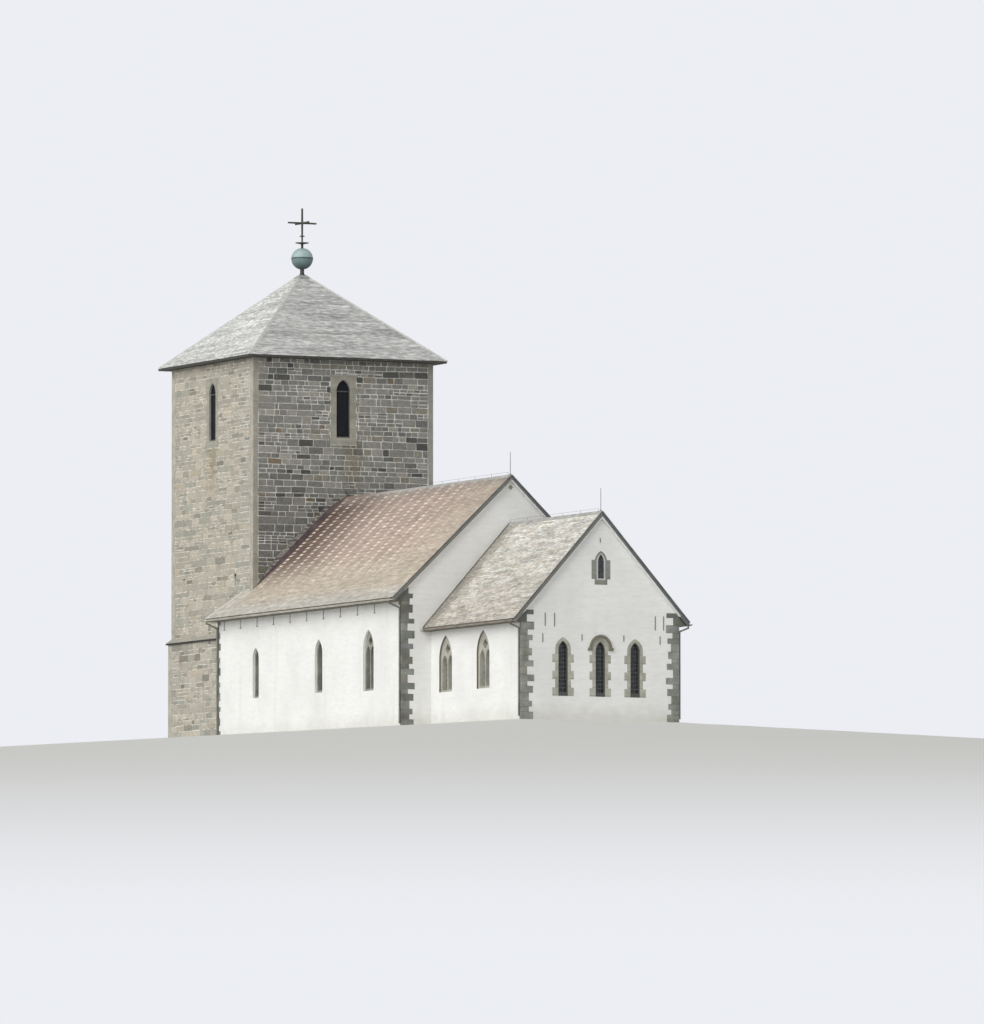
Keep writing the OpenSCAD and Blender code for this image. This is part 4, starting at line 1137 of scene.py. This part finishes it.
def folded_caps(batch, foot, top, normals, half_w, lift, count):
    """Overlapping folded strips of metal along the hip between two slopes."""
    along = (top - foot).normalized()
    crown = (normals[0] + normals[1]).normalized()
    arms = []
    for normal, other in (normals, normals[::-1]):
        across = normal.cross(along)
        arms.append(across if across.dot(other) < 0 else -across)
    for i in range(count):
        rings = []
        for share, raised in ((i / count, 0.01), (min(1.0, (i + 1.12) / count), 0.0)):
            middle = foot.lerp(top, share)
            tips = [middle + n * (lift * 0.5 + raised) + arm * half_w
                    for n, arm in zip(normals, arms)]
            crest = middle + crown * (lift + raised)
            rings.append([tips[0], crest + crown * 0.016, tips[1], crest])
        low, high = rings
        if (low[1] - low[0]).cross(low[2] - low[0]).dot(along) < 0:
            low, high = low[::-1], high[::-1]
        batch.prism(low, high)


def tower_caps():
    """Metal strips down the four hips and a metal cap round the point."""
    batch = Batch()
    apex = Vector((0, tower_mid, tower_apex))
    for sx in (-1, 1):
        for sy in (-1, 1):
            foot = Vector((sx * roof_half, tower_mid + sy * roof_half, tower_eave))
            normals = [slope_normal(out, tower_pitch)
                       for out in (Vector((sx, 0, 0)), Vector((0, sy, 0)))]
            folded_caps(batch, foot, foot.lerp(apex, HIP_CAP_REACH), normals,
                        HIP_CAP_HALF, HIP_CAP_LIFT, HIP_CAPS)
    batch.build("tower_hip_caps", "ridge_grey", "ridge_zinc")
    point = Batch()
    for out, _ in TOWER_SLATES.values():
        outline = [(sign * (v * tower_shrink + 0.05), tower_slope_length - v) for v, sign in (
            (POINT_CAP, -1), (POINT_CAP, 1), (POINT_CAP_TOP, 1), (POINT_CAP_TOP, -1))]
        point.plate(tower_surface(out), outline, 0.03, 0.055)
    point.build("tower_point_cap", "cap", "ridge_zinc")


tower_caps()

# Nave roof: light slates in columns among pinkish ones

NAVE_GAUGE = 0.125
COLUMN_FIRST = 0.7
COLUMN_STEP = 1.22
COLUMN_W = 0.36
SLATE_W = 0.32
BROWN = colour(109, 91, 81)
PINK = colour(192, 173, 161)
BEIGE = colour(202, 191, 174)
PALE = colour(200, 196, 187)
RIDGE_TONE = colour(164, 156, 148)
DOT = colour(236, 224, 212)


def nave_tone(east, share, dot):
    """Tone by how far east of the tower a slate lies and how far up the slope."""
    near_tower = 1 - step(0.5, 8.5, east)
    tone = blend(BEIGE, PINK, step(0.22, 0.5, share) * (1 - 0.65 * step(12.0, 18.5, east)))
    tone = blend(tone, BROWN, near_tower * step(0.12, 0.55, share))
    tone = blend(tone, PALE, 1 - step(0.02, 0.16, share))
    tone = blend(tone, RIDGE_TONE, step(0.86, 1.0, share) * 0.7)
    tone = scaled(tone, 1.0 - 0.1 * step(0.55, 0.85, share))
    if east < 0:
        tone = blend(tone, PALE, 0.7)
    if dot:
        strength = 0.35 + 0.65 * step(0.15, 0.45, share)
        strength *= 1 - 0.65 * step(12.5, 18.0, east)
        strength *= 1 - 0.3 * step(0.6, 0.95, share)
        tone = blend(tone, DOT, strength)
    return tone


strip_w = nave.eave_x - tower_half
strip_l = nave_west - tower_east
strip_slope = strip_w / math.cos(nave.pitch)


def nave_course(start, east_end, dotted, rng):
    """Edges of the slates of one course, east of the tower face, and which of them are light."""
    east = start - (0.0 if start < 0 else rng.uniform(0.0, 0.2))
    edges = []
    dots = []
    if dotted and start >= 0:
        places = [COLUMN_FIRST + COLUMN_STEP * i for i in range(round(east_end / COLUMN_STEP))]
        dots = [place for place in places if place < east_end - 0.3]
    for stop in dots + [None]:
        room = (east_end if stop is None else stop - COLUMN_W / 2) - east
        shares = [rng.uniform(0.8, 1.2) for _ in range(max(1, round(room / SLATE_W)))]
        for share in shares:
            width = room * share / sum(shares)
            edges.append((east, east + width, False))
            east += width
        if stop is not None:
            edges.append((east, east + COLUMN_W, True))
            east += COLUMN_W
    return edges


def nave_slates(name, side, seed):
    rng = random.Random(seed)
    batch = Batch()
    surface = nave.surface(side)
    length = nave.slope_length
    ridge = [lambda u, v: length - 0.02 - v]
    hip = [lambda u, v: strip_l - v * math.cos(nave.pitch) - side * u]
    for course in range(math.ceil((length - 0.1) / NAVE_GAUGE)):
        v0 = course * NAVE_GAUGE
        start = -strip_l if v0 + NAVE_GAUGE * 0.6 < strip_slope else 0.0
        for e0, e1, is_dot in nave_course(start, nave.start - nave.verge, course % 2 == 1, rng):
            tone = nave_tone((e0 + e1) / 2, v0 / length, is_dot)
            tone = scaled(tone, streak(e0, course, seed, 0.14) * rng.uniform(0.91, 1.1))
            u0, u1 = (e0, e1) if side < 0 else (-e1, -e0)
            slate_plate(batch, surface, u0, u1, v0, NAVE_GAUGE, rng, tone,
                        hip if e0 < 0 else ridge)
    batch.build(name, "slate_nave", "nave_slate")


def strip_ends():
    """The small hipped slopes that face west beside the tower, and the caps on their hips."""
    rng = random.Random(53)
    slates = Batch()
    caps = Batch()
    surface = roof_surface(Vector((0, nave_west, nave.eave)), WEST, nave.pitch)
    for side, out in SIDES.items():
        cuts = [
            lambda u, v: -side * u - tower_half - 0.01,
            lambda u, v: nave.eave_x - v * math.cos(nave.pitch) + side * u,
        ]
        for course in range(math.ceil(strip_slope / NAVE_GAUGE)):
            reach = tower_half
            while reach < nave.eave_x:
                width = rng.uniform(0.24, 0.4)
                u0, u1 = sorted((-side * reach, -side * (reach + width)))
                slate_plate(slates, surface, u0, u1, course * NAVE_GAUGE, NAVE_GAUGE, rng,
                            scaled(PALE, rng.uniform(0.92, 1.06)), cuts)
                reach += width
        foot = Vector((side * nave.eave_x, nave_west, nave.eave))
        beside = tower_half + 0.03
        top = Vector((side * beside, nave_west - strip_w + 0.03, nave_top(beside)))
        normals = [slope_normal(out, nave.pitch), slope_normal(WEST, nave.pitch)]
        folded_caps(caps, foot, top, normals, 0.09, 0.034, 4)
    slates.build("strip_end_slates", "slate_nave", "nave_slate")
    caps.build("strip_end_caps", "ridge_grey", "ridge_zinc")


nave_slates("nave_slates_south", -1, 51)
nave_slates("nave_slates_north", 1, 52)
strip_ends()

# Chancel roof: mottled slates of mixed widths

CHANCEL_GAUGE = 0.13
CHANCEL_TONES = [
    (colour(216, 214, 206), 5), (colour(222, 220, 213), 3), (colour(206, 203, 194), 3),
    (colour(194, 191, 182), 1.5), (colour(210, 202, 190), 1.6), (colour(208, 208, 204), 2),
]
CHANCEL_LOW = (0.96, 0.93, 0.90)
CHANCEL_HIGH = (1.13, 1.13, 1.13)
CHANCEL_DAMP = colour(140, 134, 120)


def chancel_slates(name, side, seed):
    rng = random.Random(seed)
    batch = Batch()
    surface = chancel.surface(side)
    length = chancel.slope_length
    east_end = chancel.start - chancel.verge
    cuts = [lambda u, v: length - 0.02 - v]
    for course in range(math.ceil((length - 0.1) / CHANCEL_GAUGE)):
        v0 = course * CHANCEL_GAUGE
        east = -rng.uniform(0.0, 0.2)
        while east < east_end - 0.02:
            width = min(rng.uniform(0.22, 0.6), east_end - east)
            tone = pick_tone(rng, CHANCEL_TONES, 0.04)
            patch = 1.0 + 0.08 * noise.noise(Vector((east * 0.9, v0 * 2.4, seed)))
            tone = scaled(tone, streak(east * 2.2, course, seed, 0.34) * patch)
            height = blend(CHANCEL_LOW, CHANCEL_HIGH, v0 / length)
            tone = tuple(a * b for a, b in zip(tone, height))
            tone = blend(tone, CHANCEL_DAMP, 0.7 * (1 - step(0.1, 1.5, east)))
            u0, u1 = max(0.0, east), east + width
            if side > 0:
                u0, u1 = -u1, -u0
            if u1 - u0 > 0.05:
                slate_plate(batch, surface, u0, u1, v0, CHANCEL_GAUGE, rng, tone, cuts)
            east += width
    batch.build(name, "slate_chancel", "chancel_slate")


chancel_slates("chancel_slates_south", -1, 61)
chancel_slates("chancel_slates_north", 1, 62)


# Windows

BAR = 0.014
TRACERY_BACK = 0.34
ARCH_SHARE = 0.8
EAST_GLASS = 0.16
EAST_RING = 0.21
SIDE_PITCH = 0.27
EAST_PITCH = 0.2
SHUTTER_DEPTH = 0.10
LEAST_PLATE = 0.0001


def lattice(batch, surface, w, sill, apex, rise, depth, columns, pitch):
    """Bars of a leaded window just in front of its glass."""
    tall = apex - sill
    spring = tall - rise
    for i in range(1, columns):
        u = -w / 2 + w * i / columns
        top = tall
        while top > 0.1 and arch_half(top, w, spring, rise) < abs(u) + 0.01:
            top -= 0.02
        batch.block(surface, u - BAR / 2, u + BAR / 2, sill + 0.02, sill + top,
                    -depth, -depth + BAR)
    v = pitch
    while v < tall - 0.12:
        half = arch_half(v, w, spring, rise) - 0.01
        batch.block(surface, -half, half, sill + v - BAR, sill + v + BAR,
                    -depth, -depth + BAR * 1.4)
        v += pitch


def side_window_bars(name, wing, windows):
    """Bars of the side windows: distance from the wing's start, width, sill, apex, columns."""
    batch = Batch()
    for side, out in SIDES.items():
        for distance, w, sill, apex, columns in windows:
            surface = Surface((side * wing.half, wing.start - distance, 0), out)
            lattice(batch, surface, w, sill, apex, ARCH_SHARE * w, TRACERY_BACK, columns,
                    SIDE_PITCH)
    batch.build(name, "lead", "iron")


side_window_bars("nave_window_bars", nave, [
    (2.09, 0.72, 2.10, 4.60, 3),
    (nave.length / 2, 0.86, 2.05, 4.67, 3),
    (nave.length - 3.74, 1.19, 1.90, 4.88, 6),
])
side_window_bars("chancel_window_bars", chancel, [
    (1.59, 1.41, 1.65, 4.38, 6),
    (chancel.length - 4.11, 1.40, 1.65, 4.45, 6),
])


def half_rings(batch, surface, inner, outer, foot, height, steps, back, front):
    """Plates on both sides between two lines, each of which gives half a width at a height."""
    for sign in (-1, 1):
        for i in range(steps):
            z0, z1 = height * i / steps, height * (i + 1) / steps
            outline = [
                (sign * inner(z0), foot + z0), (sign * outer(z0), foot + z0),
                (sign * outer(z1), foot + z1), (sign * inner(z1), foot + z1),
            ]
            if sign < 0:
                outline.reverse()
            if area(outline) > LEAST_PLATE:
                batch.plate(surface, outline, back, front)


def pointed_frame(batch, surface, w, sill, spring, rise, wide, back, front):
    """A frame of even width inside a pointed opening."""
    half = w / 2
    batch.block(surface, wide - half, half - wide, sill, sill + wide, back, front)
    for sign in (-1, 1):
        a, b = sorted((sign * (half - wide), sign * half))
        batch.block(surface, a, b, sill, spring, back, front)
    half_rings(batch, surface, lambda z: max(0.0, arch_half(z, w, 0.0, rise) - wide),
               lambda z: arch_half(z, w, 0.0, rise), spring, rise, 10, back, front)


def pointed_outline(w, sill, spring, rise, steps=8):
    """Outline of a pointed opening, anticlockwise."""
    heights = [rise * i / steps for i in range(steps)]
    right = [(w / 2, sill)] + [(arch_half(z, w, 0.0, rise), spring + z) for z in heights]
    return right + [(0.0, spring + rise)] + [(-u, v) for u, v in reversed(right)]


def east_windows():
    """Bars of the east windows, the frame and pane of the small gable light, and the stone
    between the ring of the middle lancet and its hood."""
    bars = Batch()
    for x in LANCET_PLACES:
        lattice(bars, Surface((x, chancel.gable, 0), EAST), *EAST_LANCET, EAST_GLASS - 0.01,
                3, EAST_PITCH)
    bars.build("east_window_bars", "lead", "iron")
    w, sill, apex, rise = GABLE_LIGHT
    light = Surface((0.04, chancel.gable, 0), EAST)
    frames = Batch()
    pointed_frame(frames, light, w, sill, apex - rise, rise, 0.07, -0.05, 0.008)
    frames.build("gable_light_frame", "pale_frame", "dressed_stone")
    pane = Batch()
    pane.plate(light, pointed_outline(w - 0.1, sill + 0.05, apex - rise, rise - 0.05),
               -0.04, -0.025)
    for v in (0.42, 0.82):
        pane.block(light, 0.1 - w / 2, w / 2 - 0.1, sill + v, sill + v + 0.02, -0.03, -0.018)
    pane.build("gable_light_pane", "leaded_glass", "window_glass")
    w, _, apex, rise = EAST_LANCET
    hood_w, hood_spring, hood_rise = 0.93, 0.15, 0.50
    spandrels = Batch()
    half_rings(spandrels, Surface((0, chancel.gable, 0), EAST),
               lambda z: arch_half(z, w + 2 * EAST_RING, 0.0, rise + EAST_RING),
               lambda z: arch_half(z, hood_w, hood_spring, hood_rise),
               apex - rise, hood_spring + hood_rise, 16, -0.005, 0.012)
    spandrels.build("hood_spandrels", "window_stone", "grey_window_stone")


east_windows()


# Small parts

DIAMOND_PLACE = (0.07, nave.gable, 11.78)
DIAMOND_HALF = 0.132
IRONS = 10
IRON_FIRST = 0.79
IRON_LAST = 3.03
IRON_DROP = 0.45


@piece("gable_panel", "surround", "grey_window_stone")
def gable_panel(batch):
    """A stone panel in the diamond recess of the nave gable."""
    outline = [(0, -DIAMOND_HALF), (DIAMOND_HALF, 0), (0, DIAMOND_HALF), (-DIAMOND_HALF, 0)]
    batch.plate(Surface(DIAMOND_PLACE, EAST), outline, -0.03, 0.003)


@piece("iron_feet", "iron_marks", "iron")
def iron_feet(batch):
    """Short cross bars at the foot of the nave's wall irons."""
    lap = nave.end - tower_east
    spacing = (nave.length + lap - IRON_FIRST - IRON_LAST) / (IRONS - 1)
    foot = nave.soffit - IRON_DROP
    for side, out in SIDES.items():
        surface = Surface((side * nave.half, tower_east, 0), out)
        for i in range(IRONS):
            u = -side * (IRON_FIRST - lap + i * spacing)
            batch.block(surface, u - 0.09, u + 0.09, foot, foot + 0.04, 0.0, 0.028)


@piece("belfry_frames", "shutter_frame", "shutter_wood")
def belfry_frames(batch):
    """Slim frames round the belfry shutters, with a bar at the springing."""
    wide = 0.05
    inner = LANCET_HALF - wide
    back, front = -SHUTTER_DEPTH - 0.005, -SHUTTER_DEPTH + 0.012
    for surface in walls.values():
        pointed_frame(batch, surface, 2 * LANCET_HALF, LANCET_SILL + 0.09, LANCET_SPRING,
                      LANCET_RISE, wide, back, front)
        batch.block(surface, -inner, inner, LANCET_SPRING - 0.03, LANCET_SPRING + 0.02,
                    back, front)


@piece("verge_strips", "verge_metal", "dark_board")
def verge_strips(batch):
    """Thin metal drips along the top of the bargeboards; their dark grey is partly painted shade
    along the boards' top edge.
    """
    for wing in (nave, chancel):
        for side in SIDES:
            u0, u1 = sorted((side * 0.012, -side * 0.05))
            batch.block(wing.surface(side, wing.verge), u0, u1, 0.0, wing.slope_length,
                        -0.03, 0.034)


@piece("chancel_flashing", "lead_brown", "brown_flashing")
def chancel_flashing(batch):
    """Lead along the foot of the nave gable, over the ends of the chancel's slates."""
    for side in SIDES:
        u0, u1 = sorted((0.0, -side * 0.13))
        batch.block(chancel.surface(side), u0, u1, 0.05, chancel.slope_length, 0.01, 0.036)


def spread(start, end, pitch):
    """Even places from start to end, about a pitch apart."""
    count = round((end - start) / pitch)
    return [start + (end - start) * i / count for i in range(count + 1)]


@piece("gutter_brackets", "gutter", "gutter_zinc")
def gutter_brackets(batch):
    """Half rings round the gutters."""
    ring = [(math.cos(a), math.sin(a)) for a in turns(16)[8:] + [2 * math.pi]]
    outline = [(u * 0.088, v * 0.088) for u, v in ring]
    outline += [(u * 0.081, v * 0.081) for u, v in reversed(ring)]
    for side in SIDES:
        for wing, west in ((nave, nave_west), (chancel, chancel.start)):
            for y in spread(wing.verge + 0.3, west - 0.2, 0.8):
                middle = (side * (wing.eave_x + 0.08), y, wing.eave - 0.07)
                batch.plate(Surface(middle, EAST), outline, -0.015, 0.015)


@piece("ridge_wire", "wire", "iron")
def ridge_wire(batch):
    """Lightning wire on short pins along both ridges."""
    for wing, gap in ((nave, 0.45), (chancel, 0.1)):
        z = wing.ridge + 0.05
        y0, y1 = wing.verge + 0.4, wing.start - gap
        for y in spread(y0, y1, 1.9):
            batch.bar((0, y, z - 0.02), (0, y, z + 0.13), 0.008)
        batch.bar((0, y0, z + 0.12), (0, y1, z + 0.12), 0.005)


@piece("door_fittings", "iron", "iron")
def door_fittings(batch):
    """Studs along the straps of the west door, and a ring handle."""
    face = Surface((0, most("west_door").y, 0), WEST)

    def stud(u, v, back, front, radius, sides):
        batch.bar(face.at(u, v, back), face.at(u, v, front), radius, sides)

    for strap_z in (0.75, 1.9):
        for i in (*range(-7, 0), *range(1, 8)):
            stud(i * 0.096, strap_z + 0.045, -0.004, 0.014, 0.014, 8)
    handle_u, handle_v, reach = 0.12, 1.35, 0.06
    ring = [face.at(handle_u + reach * math.cos(a), handle_v + reach * math.sin(a), 0.004)
            for a in turns(14)]
    for start, end in zip(ring, ring[1:] + ring[:1]):
        batch.bar(start, end, 0.008)
    stud(handle_u, handle_v + reach, -0.014, 0.016, 0.025, 10)


# Stage: a pale mound that falls away, because the camera stands low

FALL = 0.07
FOOT_MARGIN = 0.2
FLOOR_DROP = 0.003
NEAR = 60
FAR = (75, 95, 120, 150, 190, 240, 300, 370, 450)
SKY = colour(236, 238, 243)
FLOOR = colour(214, 214, 210)
footprints = [
    (base_half, tower_east, base_west),
    (nave.half, nave.gable, nave.end),
    (chancel.half, chancel.gable, nave.gable),
]


def ground(x, y):
    """Height of the ground: level below the walls, then falling."""
    nearest = math.inf
    for half, y0, y1 in footprints:
        dx = max(0.0, abs(x) - half - FOOT_MARGIN)
        dy = max(0.0, y0 - FOOT_MARGIN - y, y - y1 - FOOT_MARGIN)
        nearest = min(nearest, math.hypot(dx, dy))
    return -FLOOR_DROP - FALL * nearest


def grid_lines(extra):
    """Lines close together near the building, and some at its feet."""
    near = list(range(-NEAR, NEAR + 1, 2))
    far = [s * d for d in FAR for s in (-1, 1)]
    return sorted(set(near + far + extra))


def make_floor():
    xs = grid_lines([s * (half + FOOT_MARGIN) for half, _, _ in footprints for s in (-1, 1)])
    ys = grid_lines([y0 - FOOT_MARGIN for _, y0, _ in footprints]
                    + [y1 + FOOT_MARGIN for _, _, y1 in footprints])
    columns = len(xs)
    corners = [row * columns + column for row in range(len(ys) - 1)
               for column in range(columns - 1)]
    mesh = bpy.data.meshes.new("floor")
    mesh.from_pydata([(x, y, ground(x, y)) for y in ys for x in xs], [],
                     [(i, i + 1, i + columns + 1, i + columns) for i in corners])
    mesh.materials.append(materials["floor"])
    mesh.update()
    add_object("floor", mesh)


def floor_material():
    """Pale floor that turns into the backdrop far from the building."""
    s = Shader("floor", roughness=1.0, specular=0.0)
    s.base = s.mix(s.noise(0.3, 3.0), FLOOR, scaled(FLOOR, 0.97))
    s.finish()
    glow = s.node("Emission", {"Color": SKY}).outputs[0]
    away = s.node("VectorMath", {0: s.place}, operation="LENGTH").outputs["Value"]
    seen = s.node("LightPath").outputs["Is Camera Ray"]
    share = s.product(s.rise(away, 45.0, 260.0), seen)
    mixed = s.node("MixShader", {0: share, 1: s.surface.outputs[0], 2: glow}).outputs[0]
    s.tree.links.new(mixed, s.tree.nodes["Material Output"].inputs["Surface"])


floor_material()
make_floor()

# Light: a soft even world and two soft suns

SKY_LIGHT = 0.46
SKY_TONE = (0.97, 0.985, 1.0)
SUN_TONE = (1.0, 0.99, 0.975)


def make_world():
    """Soft even light, and a pale backdrop for camera, mirror and glass rays."""
    world = bpy.data.worlds.new("studio")
    bpy.context.scene.world = world
    world.use_nodes = True
    tree = world.node_tree
    tree.nodes.remove(tree.nodes["Background"])
    light = add_node(tree, "Background", {"Color": SKY_TONE, "Strength": SKY_LIGHT}).outputs[0]
    backdrop = add_node(tree, "Background", {"Color": SKY}).outputs[0]
    rays = add_node(tree, "LightPath").outputs
    seen = rays["Is Camera Ray"]
    for name in ("Is Glossy Ray", "Is Transmission Ray"):
        seen = add_node(tree, "Math", {0: seen, 1: rays[name]}, operation="MAXIMUM").outputs[0]
    mixed = add_node(tree, "MixShader", {0: seen, 1: light, 2: backdrop}).outputs[0]
    tree.links.new(mixed, tree.nodes["World Output"].inputs["Surface"])


make_world()

for name, towards, strength, soft in (
    ("key", (-0.8, -0.29, 0.52), 2.05, 55),
    ("fill", (-0.5, -0.85, 0.06), 0.62, 80),
):
    lamp = bpy.data.lights.new(name, "SUN")
    lamp.energy = strength
    lamp.angle = math.radians(soft)
    lamp.color = SUN_TONE
    add_object(name, lamp, towards)

# Camera: low and far off, as the photograph was taken

CAMERA_PLACE = Vector((-233.916, -482.959, -23.465))
HEADING = math.radians(26.205)
TILT = math.radians(3.689)
LENS = 381.93
SENSOR = 36.0
CLIP = (1.0, 3000.0)

camera = bpy.data.cameras.new("camera")
camera.lens = LENS
camera.sensor_width = SENSOR
camera.clip_start, camera.clip_end = CLIP
look = (math.sin(HEADING) * math.cos(TILT), math.cos(HEADING) * math.cos(TILT), math.sin(TILT))
camera_holder = add_object("camera", camera, look, "-Z")
camera_holder.location = CAMERA_PLACE
bpy.context.scene.camera = camera_holder
bpy.context.scene.view_settings.view_transform = "Standard"
